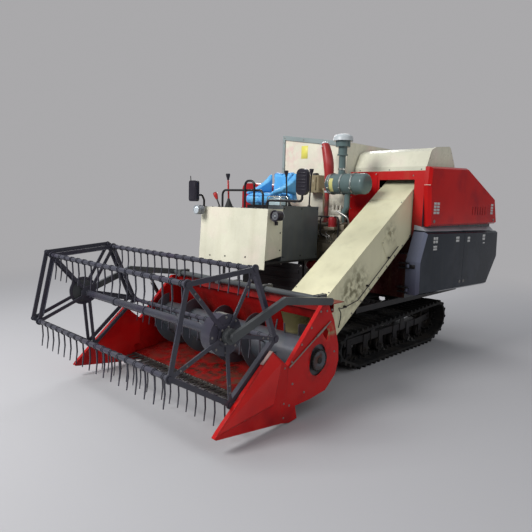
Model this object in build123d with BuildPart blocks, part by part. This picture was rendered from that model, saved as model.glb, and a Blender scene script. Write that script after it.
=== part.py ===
"""Compact crawler combine harvester: tined reel header, feeder, thresher, grain tank and seat.

Millimetres. Forward is -Y, the machine's left side is +X, and the ground is Z = 0.
Side profiles are drawn as (y, z) points, looking along the machine's width.
"""
import os
from math import atan2, cos, degrees, hypot, radians, sin, tan

from build123d import *

os.makedirs("parts", exist_ok=True)

# General sizes
sheet = 4.0  # thickness of the pressed sheet panels
fit = 0.4  # running clearance of a shaft in its bore
seat_gap = 0.3  # gap where one round piece rests on another

# Tracks: rubber belts on a front sprocket, a rear idler and ground rollers
track_centre = 465.0
track_width = 400.0
track_pitch = 90.0
belt_thickness = 24.0
lug_height = 26.0
lug_foot = 44.0
lug_taper = 66.0
sprocket_y = -230.0
sprocket_z = 253.0
sprocket_radius = 104.0
sprocket_width = 50.0
sprocket_teeth = 8
idler_y = 1685.0
idler_z = 284.0
idler_radius = 165.0
wheel_width = 100.0
roller_radius = 74.0
roller_first = -10.0
roller_last = 1500.0
roller_count = 6
carrier_radius = 44.0
axle_radius = 16.0
beam_half = 55.0
beam_low = 208.0
beam_high = 284.0
bracket_half = 40.0
bracket_thick = 8.0

# Chassis
rail_x = 200.0
rail_width = 60.0
rail_low = 560.0
rail_high = 640.0
rail_front = -420.0
rail_rear = 2250.0
outrigger_x = 600.0
outrigger_width = 40.0
tow_y = 2276.0
tow_bore = 16.0
tow_thick = 24.0
tie_front = 140.0
tie_rear = 1290.0

# Header: knife, trough, side plates and dividers
header_half = 1000.0
trough_top = 835.0
knife_y = -1572.0
auger_y = -1142.0
auger_z = 422.0
auger_drum = 150.0
auger_flight = 246.0
auger_pitch = 420.0
divider_width = 34.0
divider_tip_y = -2180.0
divider_tip_z = 108.0

# Feeder house: a sloping box on the left, hinged at its upper end
feeder_inner_x = 420.0
feeder_outer_x = 810.0
feeder_slope = 34.6
feeder_top_y = -810.0
feeder_top_z = 850.0
feeder_depth = 394.0
feeder_end_y = 775.0
hinge_y = 740.0
hinge_z = 1700.0
hinge_pin_radius = 20.0

# Reel
reel_y = -2060.0
reel_z = 769.0
reel_radius = 485.0
reel_phase = 49.0
reel_bats = 5
reel_half = header_half - 50
spider_thick = 10.0
spider_bar = 34.0
spider_flange = 26.0
shaft_radius = 30.0
bat_radius = 18.0
tine_count = 18
tine_length = 185.0
tine_thick = 7.0
eccentric_offset = 50.0
eccentric_angle = 35.0
eccentric_ring = 100.0
arm_inner_x = header_half + 4
arm_thick = 30.0
arm_depth = 56.0
arm_bend_y = -1574.0
arm_bend_z = 948.0
arm_pivot_y = -1042.0
arm_pivot_z = 879.0
torsion_radius = 25.0

# Cylinders: rest positions of their pins, worked out for their closed linkages
lift_x = 520.0
lift_base_y = 350.0
lift_base_z = 560.0
lift_eye_y = -180.0
lift_eye_drop = 50.0
lift_barrel_radius = 34.0
lift_rod_radius = 18.0
lift_eye_width = 38.0
reel_lift_x = -header_half - 23
reel_lift_base_y = -1225.0
reel_lift_base_z = 630.0
reel_lift_eye_y = -1360.0
reel_lift_eye_z = 858.0
reel_lift_barrel_radius = 20.0
reel_lift_rod_radius = 10.0
reel_lift_eye_width = 22.0
ear_thick = 10.0
ear_gap = 3.0
pin_radius = 10.0
eye_play = 6.0

# Thresher body and its side covers
body_right = 40.0
body_left_low = 846.0
body_left_high = 926.0
body_front = 574.0
body_bottom = 700.0
cover_x = 1000.0

# Grain tank
tank_right = -950.0
tank_left = 0.0
tank_front = 540.0
tank_rear = 1850.0
tank_floor = 1320.0
tank_top_inner = 2320.0
tank_top_outer = 2450.0

# Operator's station
station_right = -950.0
station_left = 30.0
station_front = -740.0
floor_z = 1040.0
panel_bottom = 990.0
panel_top = 1570.0


def side_outline(points, x_low, x_high, mode=Mode.ADD):
    """A slab between two lateral planes, its outline given in side view."""
    with BuildSketch(Plane.YZ.offset(x_low)) as outline:
        with BuildLine():
            Polyline(*points, close=True)
        make_face()
    extrude(outline.sketch, amount=x_high - x_low, mode=mode)


def block(x_span, y_span, z_span, mode=Mode.ADD):
    """A plain box between two planes along each axis."""
    spans = (x_span, y_span, z_span)
    with Locations(tuple((low + high) / 2 for low, high in spans)):
        Box(*(high - low for low, high in spans), mode=mode)


def cross_bar(radius, x_span, y, z, mode=Mode.ADD):
    """A round bar that lies across the machine."""
    with BuildSketch(Plane.YZ.offset(x_span[0])) as disc:
        with Locations((y, z)):
            Circle(radius)
    extrude(disc.sketch, amount=x_span[1] - x_span[0], mode=mode)


def round_bar(start, end, radius, mode=Mode.ADD):
    """A straight round bar between two points."""
    axis = Vector(*end) - Vector(*start)
    with BuildSketch(Plane(origin=start, z_dir=axis)) as disc:
        Circle(radius)
    extrude(disc.sketch, amount=axis.length, mode=mode)


def bent_bar(points, radius, bend, mode=Mode.ADD):
    """A round bar bent at its inner points."""
    with BuildLine(mode=Mode.PRIVATE) as path:
        FilletPolyline(*points, radius=bend)
    with BuildSketch(Plane(origin=path.line @ 0, z_dir=path.line % 0)) as disc:
        Circle(radius)
    sweep(disc.sketch, path=path.line, mode=mode)


def flat_link(start, end, width, x_low, x_high, mode=Mode.ADD):
    """A straight flat bar with round ends, drawn in side view between two eyes."""
    centre = ((start[0] + end[0]) / 2, (start[1] + end[1]) / 2)
    length = hypot(end[0] - start[0], end[1] - start[1])
    turn = degrees(atan2(end[1] - start[1], end[0] - start[0]))
    with BuildSketch(Plane.YZ.offset(x_low)) as link:
        with Locations(Location((centre[0], centre[1], 0), (0, 0, turn))):
            SlotCenterToCenter(length, width)
    extrude(link.sketch, amount=x_high - x_low, mode=mode)


def save(piece, name):
    """Label a finished piece and write it to its own file."""
    piece.part.label = name
    export_step(piece.part, f"parts/{name}.step")


# Tracks: each belt is a smooth band with two rows of lugs, half a pitch apart
roller_z = lug_height + belt_thickness + seat_gap + roller_radius
roller_step = (roller_last - roller_first) / (roller_count - 1)
roller_ys = [roller_first + roller_step * place for place in range(roller_count)]
lug_root = 3.0

with BuildSketch() as wheels:
    with Locations((sprocket_y, sprocket_z)):
        Circle(sprocket_radius + seat_gap)
    with Locations((idler_y, idler_z)):
        Circle(idler_radius + seat_gap)
    with Locations((roller_first, roller_z), (roller_last, roller_z)):
        Circle(roller_radius + seat_gap)
    make_hull()
with BuildSketch() as band:
    add(wheels.sketch)
    offset(amount=belt_thickness)
rim = band.sketch.face().outer_wire()
lug_count = round(rim.length / track_pitch)

with BuildPart() as left_track_belt:
    for half in range(2):
        feet = []
        for place in range(lug_count):
            along = (place + half / 2) / lug_count
            foot = rim @ along
            lean = rim % along
            turn = degrees(atan2(lean.Y, lean.X)) + 180
            feet.append(Location((foot.X, foot.Y, 0), (0, 0, turn)) * Location((0, -lug_root, 0)))
        belt_side = track_centre + (half - 1) * track_width / 2
        with BuildSketch(Plane.YZ.offset(belt_side)) as tread:
            add(band.sketch)
            with Locations(*feet):
                Trapezoid(lug_foot, lug_height + lug_root, lug_taper, align=(Align.CENTER, Align.MIN))
            add(wheels.sketch, mode=Mode.SUBTRACT)
        extrude(tread.sketch, amount=track_width / 2)
save(left_track_belt, "left_track_belt")

with BuildPart() as right_track_belt:
    add(mirror(left_track_belt.part, about=Plane.YZ, mode=Mode.PRIVATE))
save(right_track_belt, "right_track_belt")

# Drive sprockets: toothed discs on the final drive's flanges
valley_radius = 0.42 * track_pitch
drive_flange_x = track_centre - sprocket_width / 2
with BuildPart() as drive_sprockets:
    with BuildSketch(Plane.YZ.offset(drive_flange_x)) as cog:
        with Locations((sprocket_y, sprocket_z)):
            Circle(sprocket_radius)
            with PolarLocations(sprocket_radius + valley_radius * 0.55, sprocket_teeth):
                Circle(valley_radius, mode=Mode.SUBTRACT)
    extrude(cog.sketch, amount=sprocket_width)
    cross_bar(48, (drive_flange_x - 30, drive_flange_x), sprocket_y, sprocket_z)
    cross_bar(40, (drive_flange_x + sprocket_width, track_centre + 60), sprocket_y, sprocket_z)
    mirror(about=Plane.YZ)
save(drive_sprockets, "drive_sprockets")

# Idlers: spoked wheels at the rear of each track
axle_reach = beam_half - seat_gap
with BuildPart() as idlers:
    with BuildSketch(Plane.YZ.offset(track_centre - wheel_width / 2)) as rim_ring:
        with Locations((idler_y, idler_z)):
            Circle(idler_radius)
            Circle(idler_radius - 16, mode=Mode.SUBTRACT)
    extrude(rim_ring.sketch, amount=wheel_width)
    with BuildSketch(Plane.YZ.offset(track_centre - 8)) as web:
        with Locations((idler_y, idler_z)):
            Circle(idler_radius - 8)
            with PolarLocations(idler_radius * 0.6, 6):
                Circle(26, mode=Mode.SUBTRACT)
    extrude(web.sketch, amount=16)
    cross_bar(34, (track_centre - axle_reach, track_centre + axle_reach), idler_y, idler_z)
    mirror(about=Plane.YZ)
save(idlers, "idlers")

# Ground and carrier rollers, each with its axle between the brackets
top_run_rise = (idler_z + idler_radius - sprocket_z - sprocket_radius) / (idler_y - sprocket_y)
carrier_ys = (430.0, 1050.0)
carrier_zs = [
    sprocket_z + sprocket_radius + top_run_rise * (y - sprocket_y) - carrier_radius
    for y in carrier_ys
]


def roller(radius, y, z):
    """A roller with two rims, a waist and its axle."""
    rim_width = wheel_width * 0.3
    for low in (-wheel_width / 2, wheel_width / 2 - rim_width):
        cross_bar(radius, (track_centre + low, track_centre + low + rim_width), y, z)
    cross_bar(radius * 0.72, (track_centre - wheel_width / 2, track_centre + wheel_width / 2), y, z)
    cross_bar(axle_radius, (track_centre - axle_reach, track_centre + axle_reach), y, z)


with BuildPart() as ground_rollers:
    for y in roller_ys:
        roller(roller_radius, y, roller_z)
    mirror(about=Plane.YZ)
save(ground_rollers, "ground_rollers")

with BuildPart() as carrier_rollers:
    for y, z in zip(carrier_ys, carrier_zs):
        roller(carrier_radius, y, z)
    mirror(about=Plane.YZ)
save(carrier_rollers, "carrier_rollers")

# Track frames: a box beam inside each belt, with brackets down to the rollers and a fork to the idler
beam_front = roller_first - 75
beam_rear = idler_y - idler_radius - 12
with BuildPart() as track_frames:
    beam_span = (track_centre - beam_half, track_centre + beam_half)
    block(beam_span, (beam_front, beam_rear), (beam_low, beam_high))
    for inner in (track_centre - beam_half - bracket_thick, track_centre + beam_half):
        outer = inner + bracket_thick
        for y in roller_ys:
            block((inner, outer), (y - bracket_half, y + bracket_half), (roller_z - 28, beam_high))
        for y, z in zip(carrier_ys, carrier_zs):
            block((inner, outer), (y - bracket_half, y + bracket_half), (beam_low, z + 22))
        side_outline(
            [
                (beam_rear - 150, beam_low),
                (idler_y + 40, idler_z - 38),
                (idler_y + 40, idler_z + 38),
                (beam_rear - 150, beam_high),
            ],
            inner,
            outer,
        )
    mirror(about=Plane.YZ)
save(track_frames, "track_frames")

# Chassis: two rails, cross members out over the tracks, and legs down to tubes between the track frames
cross_low = rail_low + 10
cross_high = rail_high - 10
cross_half = 30.0
cross_ys = (-60.0, 430.0, 1000.0, 1560.0, 2180.0)
tie_low = 215.0
tie_high = 275.0
beam_inner_x = track_centre - beam_half
tie_half = 40.0
post_half = 25.0
leg_half = 20.0
floor_post_xs = (-560.0, -100.0)
body_leg_xs = (100.0, outrigger_x)
front_leg_x = (100.0, 140.0)
tank_leg_xs = (-880.0, -560.0)
tank_outrigger_x = -900.0
with BuildPart() as chassis_frame:
    for sign in (-1, 1):
        rail_span = (sign * rail_x - rail_width / 2, sign * rail_x + rail_width / 2)
        block(rail_span, (rail_front, rail_rear), (rail_low, rail_high))
        edge = sign * outrigger_x
        edge_span = (edge - outrigger_width / 2, edge + outrigger_width / 2)
        block(edge_span, (cross_ys[0], rail_rear), (cross_low, cross_high))
        for y in (tie_front, tie_rear):
            block(rail_span, (y - tie_half, y + tie_half), (tie_low, rail_low))
    for y in cross_ys:
        block((-outrigger_x, outrigger_x), (y - cross_half, y + cross_half), (cross_low, cross_high))
    for y in (tie_front, tie_rear):
        block((-beam_inner_x, beam_inner_x), (y - tie_half, y + tie_half), (tie_low, tie_high))
    front_span = (rail_front, rail_front + 2 * cross_half)
    block((-outrigger_x - leg_half, rail_x), front_span, (cross_low, cross_high))
    for x in floor_post_xs:
        for y in (rail_front + cross_half, cross_ys[0]):
            block((x - post_half, x + post_half), (y - post_half, y + post_half), (cross_high, floor_z))
    for x in body_leg_xs:
        for y in (cross_ys[2], cross_ys[4]):
            block((x - leg_half, x + leg_half), (y - post_half, y + post_half), (cross_high, body_bottom))
    front_leg_y = (cross_ys[1] - post_half, cross_ys[1] + post_half)
    block(front_leg_x, front_leg_y, (cross_high, body_bottom))
    for x in tank_leg_xs:
        for y in (cross_ys[2], cross_ys[3]):
            block((x - leg_half, x + leg_half), (y - post_half, y + post_half), (cross_high, tank_floor))
    for y in (cross_ys[2], cross_ys[3]):
        block((tank_outrigger_x, -outrigger_x), (y - post_half, y + post_half), (cross_low, cross_high))
    ear_inner = lift_eye_width / 2 + ear_gap
    for x_low in (lift_x - ear_inner - ear_thick, lift_x + ear_inner):
        side_outline(
            [
                (lift_base_y - 18, lift_base_z - 20),
                (cross_ys[1] - cross_half, lift_base_z - 20),
                (cross_ys[1] - cross_half, cross_high),
                (cross_ys[1] - cross_half - 20, cross_high),
                (lift_base_y - 18, lift_base_z + 14),
            ],
            x_low,
            x_low + ear_thick,
        )
    tow_span = (cross_ys[-1] + cross_half - 1, tow_y + 34)
    block((-tow_thick / 2, tow_thick / 2), tow_span, (cross_low, cross_high))
    cross_bar(tow_bore, (-tow_thick, tow_thick), tow_y, (cross_low + cross_high) / 2, Mode.SUBTRACT)
    pin_reach = ear_inner + ear_thick
    cross_bar(pin_radius, (lift_x - pin_reach, lift_x + pin_reach), lift_base_y, lift_base_z)
save(chassis_frame, "chassis_frame")

# Transmission: the gearbox between the tracks and its axle tubes out to the sprockets
with BuildPart() as transmission:
    block((-130, 130), (sprocket_y - 120, sprocket_y + 160), (sprocket_z - 90, rail_low - 60))
    fillet(transmission.edges().filter_by(Axis.X), radius=45)
    block((-170, 170), (sprocket_y - 60, sprocket_y + 80), (rail_low - 90, rail_low - 20))
    for sign in (-1, 1):
        block(
            (min(sign * 170, sign * (rail_x + 20)), max(sign * 170, sign * (rail_x + 20))),
            (sprocket_y - 40, sprocket_y + 60),
            (rail_low - 60, rail_low),
        )
    tube_end = drive_flange_x - 30
    cross_bar(52, (-tube_end, tube_end), sprocket_y, sprocket_z)
save(transmission, "transmission")

# Thresher body: a hollow housing, wider above the doors, open to the feeder and to the straw outlet behind
step_z = 1400.0
low_front = 460.0
roof_knee_y = 1450.0
roof_knee_z = 2015.0
roof_front_z = 1990.0
upper_profile = [
    (body_front, step_z),
    (body_front, roof_front_z),
    (roof_knee_y, roof_knee_z),
    (2280, 1715),
    (2390, 1440),
    (2390, step_z),
]
lower_profile = [
    (low_front, body_bottom),
    (low_front, 1150),
    (body_front, 1150),
    (body_front, step_z + 20),
    (2390, step_z + 20),
    (2490, 1345),
    (2510, 1035),
    (2230, body_bottom),
]
mouth_low = 1292.0
mouth_high = 1900.0
mouth_gap = 6.0
mouth_span = (feeder_inner_x - mouth_gap, feeder_outer_x + mouth_gap)
outlet_span = (body_right + 60, body_left_low - 60)
bearing_thick = 12.0


def inset_outline(points, wall):
    """The inside of a sheet outline, one wall thickness in."""
    with BuildSketch(mode=Mode.PRIVATE) as inside:
        with BuildLine():
            Polyline(*points, close=True)
        make_face()
        offset(amount=-wall, kind=Kind.INTERSECTION, mode=Mode.REPLACE)
    return inside.sketch


def side_extrude(sketch, x_low, x_high, mode=Mode.ADD):
    """Extrude a side-view sketch between two lateral planes."""
    with BuildSketch(Plane.YZ.offset(x_low)) as placed:
        add(sketch)
    extrude(placed.sketch, amount=x_high - x_low, mode=mode)


with BuildPart() as thresher_body:
    side_outline(lower_profile, body_right, body_left_low)
    side_outline(upper_profile, body_right, body_left_high)
    for profile, body_left in ((lower_profile, body_left_low), (upper_profile, body_left_high)):
        side_extrude(inset_outline(profile, sheet), body_right + sheet, body_left - sheet, Mode.SUBTRACT)
    block(mouth_span, (body_front - 10, body_front + 10), (mouth_low, mouth_high), Mode.SUBTRACT)
    block(outlet_span, (2262, 2600), (body_bottom - 10, 1000), Mode.SUBTRACT)
    for inner in (mouth_span[0] - bearing_thick, mouth_span[1]):
        block((inner, inner + bearing_thick), (body_front + 1, hinge_y + 60), (hinge_z - 60, hinge_z + 60))
    pin_span = (mouth_span[0] - bearing_thick - 1, mouth_span[1] + bearing_thick + 1)
    cross_bar(hinge_pin_radius + fit, pin_span, hinge_y, hinge_z, Mode.SUBTRACT)
save(thresher_body, "thresher_body")

# Front wall panel: a pressed plate on the thresher's upper front wall, right of the feeder mouth
wall_panel_x = (body_right + 4, mouth_span[0] - 26)
wall_panel_z = (1570.0, 1978.0)
wall_panel_thick = 5.0
with BuildPart() as front_wall_panel:
    block(wall_panel_x, (body_front - wall_panel_thick, body_front), wall_panel_z)
    fillet(front_wall_panel.edges().filter_by(Axis.Y), radius=12)
save(front_wall_panel, "front_wall_panel")

# Side covers on the left: a fixed upper tray and two hinged lower doors, each pressed with a shoulder
cover_profile = [(617, 1432), (562, 1846), (576, 2028), (1453, 2065), (2311, 1752), (2423, 1444)]
shoulder_width = 34.0
shoulder_depth = 20.0
vent_first_y = 1640.0
vent_pitch = 74.0
vent_count = 6
vent_z = 1598.0


def pressed_tray(piece, profile, inner_x, plain_y=None):
    """A tray of sheet, open towards the machine, with a sloping shoulder round its outer side."""
    side_outline(profile, inner_x, cover_x)
    outer = piece.faces().sort_by(Axis.X)[-1]
    rim_edges = [edge for edge in outer.edges() if plain_y is None or abs(edge.center().Y - plain_y) > 1]
    chamfer(rim_edges, length=shoulder_depth, length2=shoulder_width, reference=outer)
    offset(amount=-sheet, openings=piece.faces().sort_by(Axis.X)[0])


with BuildPart() as upper_side_cover:
    pressed_tray(upper_side_cover, cover_profile, body_left_high)
    with BuildSketch(Plane.YZ.offset(cover_x)) as vents:
        for place in range(vent_count):
            with Locations((vent_first_y + place * vent_pitch, vent_z)):
                SlotOverall(100, 16, rotation=90)
    extrude(vents.sketch, amount=-2 * sheet, mode=Mode.SUBTRACT)
save(upper_side_cover, "upper_side_cover")

door_split = 1480.0
door_gap = 6.0
door_inner_x = body_left_low + 5
door_hinge_x = 890.0
door_pin_radius = 7.0
door_top_slope = (1353 - 1379) / (2501 - 562)
door_low_slope = (694 - 744) / (2235 - 451)


def door_top(y):
    """Height of the doors' upper edge."""
    return 1379 + door_top_slope * (y - 562)


def door_low(y):
    """Height of the doors' lower edge."""
    return 744 + door_low_slope * (y - 451)


front_split = door_split - door_gap / 2
rear_split = door_split + door_gap / 2
front_door_profile = [
    (451, door_low(451)),
    (435, 1083),
    (562, door_top(562)),
    (front_split, door_top(front_split)),
    (front_split, door_low(front_split)),
]
rear_door_profile = [
    (rear_split, door_low(rear_split)),
    (rear_split, door_top(rear_split)),
    (2501, door_top(2501)),
    (2526, 1026),
    (2235, door_low(2235)),
]
front_hinge_y = 415.0
rear_hinge_y = 2548.0
front_hinge_heights = (795.0, 1040.0)
rear_hinge_heights = (1080.0, 1270.0)
rear_corner_y = 2500.0
doors = (
    # name, outline, free edge, hinge line, wall that carries the knuckles, knuckle heights
    ("front_side_door", front_door_profile, front_split, front_hinge_y, 452.0, front_hinge_heights),
    ("rear_side_door", rear_door_profile, rear_split, rear_hinge_y, rear_corner_y, rear_hinge_heights),
)
knuckle_half = 17.0
for name, profile, free_y, hinge_line_y, wall_y, heights in doors:
    with BuildPart() as side_door:
        pressed_tray(side_door, profile, door_inner_x, free_y)
        for height in heights:
            near, far = sorted((hinge_line_y, wall_y))
            z_span = (height - knuckle_half, height + knuckle_half)
            block((door_hinge_x - 6, door_hinge_x + 6), (near, far), z_span)
            with Locations((door_hinge_x, hinge_line_y, height)):
                Cylinder(14, 2 * knuckle_half)
                Cylinder(door_pin_radius + fit, 2 * knuckle_half, mode=Mode.SUBTRACT)
    save(side_door, name)

# Side drives: pulleys on the left side wall, behind the doors, with their belts
drive_x = (body_left_low + 34, body_left_low + 64)
pulleys = (
    # y, z, radius
    (720.0, 1180.0, 120.0),
    (1160.0, 980.0, 165.0),
    (1360.0, 1250.0, 62.0),
    (1640.0, 1010.0, 130.0),
    (2080.0, 1180.0, 95.0),
)
belt_runs = ((0, 1), (1, 2), (3, 4))
flange_thick = 4.0
groove_depth = 9.0
belt_thick = 11.0
hub_radius = 38.0
drive_shaft_radius = 16.0
dish_rim = 18.0
dish_depth = 12.0
dish_hub = 44.0
second_belt_step = 12.0
with BuildPart() as side_drives:
    for y, z, radius in pulleys:
        cross_bar(drive_shaft_radius, (body_left_low, drive_x[1] + 22), y, z)
        cross_bar(hub_radius, (drive_x[0] - 8, drive_x[1] + 8), y, z)
        cross_bar(radius, (drive_x[0], drive_x[0] + flange_thick), y, z)
        cross_bar(radius - groove_depth, drive_x, y, z)
        cross_bar(radius, (drive_x[1] - flange_thick, drive_x[1]), y, z)
        with BuildSketch(Plane.YZ.offset(drive_x[1])) as dish:
            with Locations((y, z)):
                Circle(radius - dish_rim)
                Circle(dish_hub, mode=Mode.SUBTRACT)
        extrude(dish.sketch, amount=-dish_depth, mode=Mode.SUBTRACT)
    for first, second in belt_runs:
        with BuildSketch(mode=Mode.PRIVATE) as inside:
            for y, z, radius in (pulleys[first], pulleys[second]):
                with Locations((y, z)):
                    Circle(radius - groove_depth)
            make_hull()
        with BuildSketch(mode=Mode.PRIVATE) as belt:
            add(inside.sketch)
            offset(amount=belt_thick)
            add(inside.sketch, mode=Mode.SUBTRACT)
        belt_inner = drive_x[0] + (second_belt_step if first == 1 else flange_thick)
        side_extrude(belt.sketch, belt_inner, drive_x[1] - flange_thick)
save(side_drives, "side_drives")

# Door hinge brackets: carried by the body's corners, with the pins
with BuildPart() as door_hinges:
    for hinge_line_y, corner_y, heights in (
        (front_hinge_y, low_front, front_hinge_heights),
        (rear_hinge_y, rear_corner_y, rear_hinge_heights),
    ):
        for height in heights:
            near, far = sorted((hinge_line_y - 10, hinge_line_y + 10))
            foot = sorted((corner_y, hinge_line_y + (10 if hinge_line_y > corner_y else -10)))
            for low in (height - knuckle_half - 13, height + knuckle_half + 1):
                z_span = (low, low + 12)
                block((body_left_low - 60, door_hinge_x + 8), (near, far), z_span)
                block((body_left_low - 60, body_left_low - 20), foot, z_span)
            with Locations((door_hinge_x, hinge_line_y, height)):
                Cylinder(door_pin_radius, 2 * knuckle_half + 26)
    add(thresher_body.part, mode=Mode.SUBTRACT)
save(door_hinges, "door_hinges")

# Top cover: a rounded transverse housing on the thresher's roof, closed at its left end
roof_slope = (roof_knee_z - roof_front_z) / (roof_knee_y - body_front)


def roof_z(y):
    """Height of the thresher's roof between its front edge and its knee."""
    return roof_front_z + roof_slope * (y - body_front)


dome_front = 698.0
dome_rear = 1345.0
dome_right = 12.0
dome_left = 880.0
dome_bend = 60.0
rim_width = 16.0
rim_height = 6.0
dome_profile = [
    (dome_front, roof_z(dome_front)),
    (dome_front, 2043),
    (775, 2201),
    (873, 2241),
    (1199, 2275),
    (1331, 2087),
    (dome_rear, roof_z(dome_rear)),
]
with BuildSketch(mode=Mode.PRIVATE) as dome:
    with BuildLine():
        Polyline(*dome_profile, close=True)
    make_face()
    fillet(dome.vertices().filter_by_position(Axis.Y, 2150, 2300), radius=dome_bend)
with BuildSketch(mode=Mode.PRIVATE) as dome_rim:
    add(dome.sketch)
    offset(amount=rim_height)
    with BuildLine():
        Polyline(
            (dome_front - 2 * rim_height, roof_z(dome_front - 2 * rim_height)),
            (dome_rear + 2 * rim_height, roof_z(dome_rear + 2 * rim_height)),
            (dome_rear + 2 * rim_height, 1900),
            (dome_front - 2 * rim_height, 1900),
            close=True,
        )
    make_face(mode=Mode.SUBTRACT)
with BuildPart() as top_cover:
    side_extrude(dome.sketch, dome_right, dome_left)
    offset(amount=-sheet, openings=top_cover.faces().sort_by(Axis.Z)[0])
    with BuildSketch(Plane.YZ.offset(dome_left - rim_width)) as rim_band:
        add(dome_rim.sketch)
        add(dome.sketch, mode=Mode.SUBTRACT)
    extrude(rim_band.sketch, amount=rim_width)
save(top_cover, "top_cover")

# Grain tank: an open box behind the operator, its rim rising to the right
with BuildPart() as grain_tank:
    with BuildSketch(Plane.XZ.offset(-tank_front)) as tank_wall:
        with BuildLine():
            Polyline(
                (tank_right, tank_floor),
                (tank_right, tank_top_outer),
                (tank_left, tank_top_inner),
                (tank_left, tank_floor),
                close=True,
            )
        make_face()
    extrude(tank_wall.sketch, amount=-(tank_rear - tank_front))
    block(
        (tank_right + sheet, tank_left - sheet),
        (tank_front + sheet, tank_rear - sheet),
        (tank_floor + sheet, tank_top_outer + 1),
        Mode.SUBTRACT,
    )
save(grain_tank, "grain_tank")

# Tank frame: flat bars along the rim of the tank's front and rear, each with a corner post
frame_bar = 52.0
frame_post = 36.0
frame_thick = 14.0
rim_fall = (tank_top_inner - tank_top_outer) / (tank_left - tank_right)
post_foot = 1640.0
with BuildPart() as tank_frame:
    for y_low in (tank_front - frame_thick, tank_rear):
        with BuildSketch(Plane.XZ.offset(-y_low)):
            with BuildLine():
                Polyline(
                    (tank_right, tank_top_outer),
                    (tank_left, tank_top_inner),
                    (tank_left, tank_top_inner - frame_bar),
                    (tank_right + frame_post, tank_top_outer + rim_fall * frame_post - frame_bar),
                    (tank_right + frame_post, post_foot),
                    (tank_right, post_foot),
                    close=True,
                )
            make_face()
        extrude(amount=-frame_thick)
save(tank_frame, "tank_frame")

# Hydraulic reservoir: a small box on the tank's front wall
reservoir_x = (-466.0, -264.0)
reservoir_z = (1757.0, 1953.0)
reservoir_depth = 150.0
with BuildPart() as oil_reservoir:
    block(reservoir_x, (tank_front - reservoir_depth, tank_front), reservoir_z)
    fillet(oil_reservoir.edges().filter_by(Axis.Z).group_by(Axis.Y)[0], radius=24)
    with Locations((sum(reservoir_x) / 2, tank_front - reservoir_depth / 2, reservoir_z[1] + 14)):
        Cylinder(26, 28)
save(oil_reservoir, "oil_reservoir")

# Engine: a diesel across the machine, with its sump, head, rocker cover, flywheel housing and fan
engine_x = (-200.0, 280.0)
crank_y = 255.0
crank_z = 1085.0
sump_z = 880.0
head_z = (1240.0, 1350.0)
rocker_top = 1430.0
flywheel_radius = 185.0
fan_radius = 170.0
fan_x = -262.0
crankcase_profile = [
    (160, sump_z),
    (350, sump_z),
    (385, 960),
    (396, 1120),
    (376, head_z[0]),
    (140, head_z[0]),
    (114, 1120),
    (125, 960),
]
block_rib_count = 4
blade_count = 7
blade_root = 60.0
blade_border = 30.0
blade_thick = 8.0
manifold_radius = 52.0
with BuildPart() as engine:
    side_outline(crankcase_profile, *engine_x)
    block((engine_x[0] + 12, engine_x[1] - 12), (crank_y - 105, crank_y + 110), head_z)
    block((engine_x[0] + 30, engine_x[1] - 30), (crank_y - 66, crank_y + 70), (head_z[1], rocker_top))
    fillet(engine.edges().filter_by(Axis.X).group_by(Axis.Z)[-1], radius=28)
    for place in range(block_rib_count):
        rib_x = engine_x[0] + 60 + place * (engine_x[1] - engine_x[0] - 132) / (block_rib_count - 1)
        block((rib_x, rib_x + 12), (crank_y - 148, crank_y + 148), (sump_z + 60, head_z[0] - 20))
    cross_bar(flywheel_radius, (engine_x[1], engine_x[1] + 62), crank_y, crank_z)
    cross_bar(flywheel_radius - 35, (engine_x[1] + 62, engine_x[1] + 84), crank_y, crank_z)
    cross_bar(70, (fan_x + 30, engine_x[0]), crank_y, crank_z)
    cross_bar(34, (fan_x - 12, fan_x + 30), crank_y, crank_z)
    with BuildSketch(Plane.YZ.offset(fan_x - blade_thick / 2)) as fan:
        with Locations((crank_y, crank_z)):
            with PolarLocations(0, blade_count):
                with Locations((fan_radius / 2, 0)):
                    Trapezoid(blade_root, fan_radius - blade_border, 82, rotation=90)
    extrude(fan.sketch, amount=blade_thick)
    cross_bar(manifold_radius, (engine_x[0] + 20, engine_x[0] + 150), crank_y - 150, head_z[0] + 66)
    block((engine_x[0] + 250, engine_x[1] - 40), (crank_y - 165, crank_y - 100), (1130, 1215))
    for x in (-rail_x, rail_x):
        block((x - 20, x + 20), (190, 320), (rail_high, sump_z + 5))
save(engine, "engine")

# Air cleaner: a lying drum on two straps from the thresher's front wall, and its stack with a cap
cleaner_y = 240.0
cleaner_z = 1845.0
cleaner_radius = 108.0
cleaner_x = (20.0, 482.0)
cleaner_bands = (52.0, 196.0, 330.0)
band_width = 16.0
band_rise = 5.0
intake_radius = 30.0
with BuildPart() as air_cleaner:
    cross_bar(cleaner_radius, cleaner_x, cleaner_y, cleaner_z)
    fillet(air_cleaner.faces().sort_by(Axis.X)[-1].edges(), radius=38)
    for x in cleaner_bands:
        cross_bar(cleaner_radius + band_rise, (x, x + band_width), cleaner_y, cleaner_z)
    cross_bar(40, (cleaner_x[0] - 14, cleaner_x[0]), cleaner_y, cleaner_z)
    strap_y = (cleaner_y, body_front - wall_panel_thick)
    for x in (100.0, 300.0):
        block((x - 15, x + 15), strap_y, (cleaner_z - 12, cleaner_z + 12))
    bent_bar(
        [
            (240, cleaner_y, cleaner_z - cleaner_radius + 20),
            (240, cleaner_y, 1600),
            (180, crank_y, 1520),
            (180, crank_y, rocker_top + seat_gap),
        ],
        intake_radius,
        50,
    )
save(air_cleaner, "air_cleaner")

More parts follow.
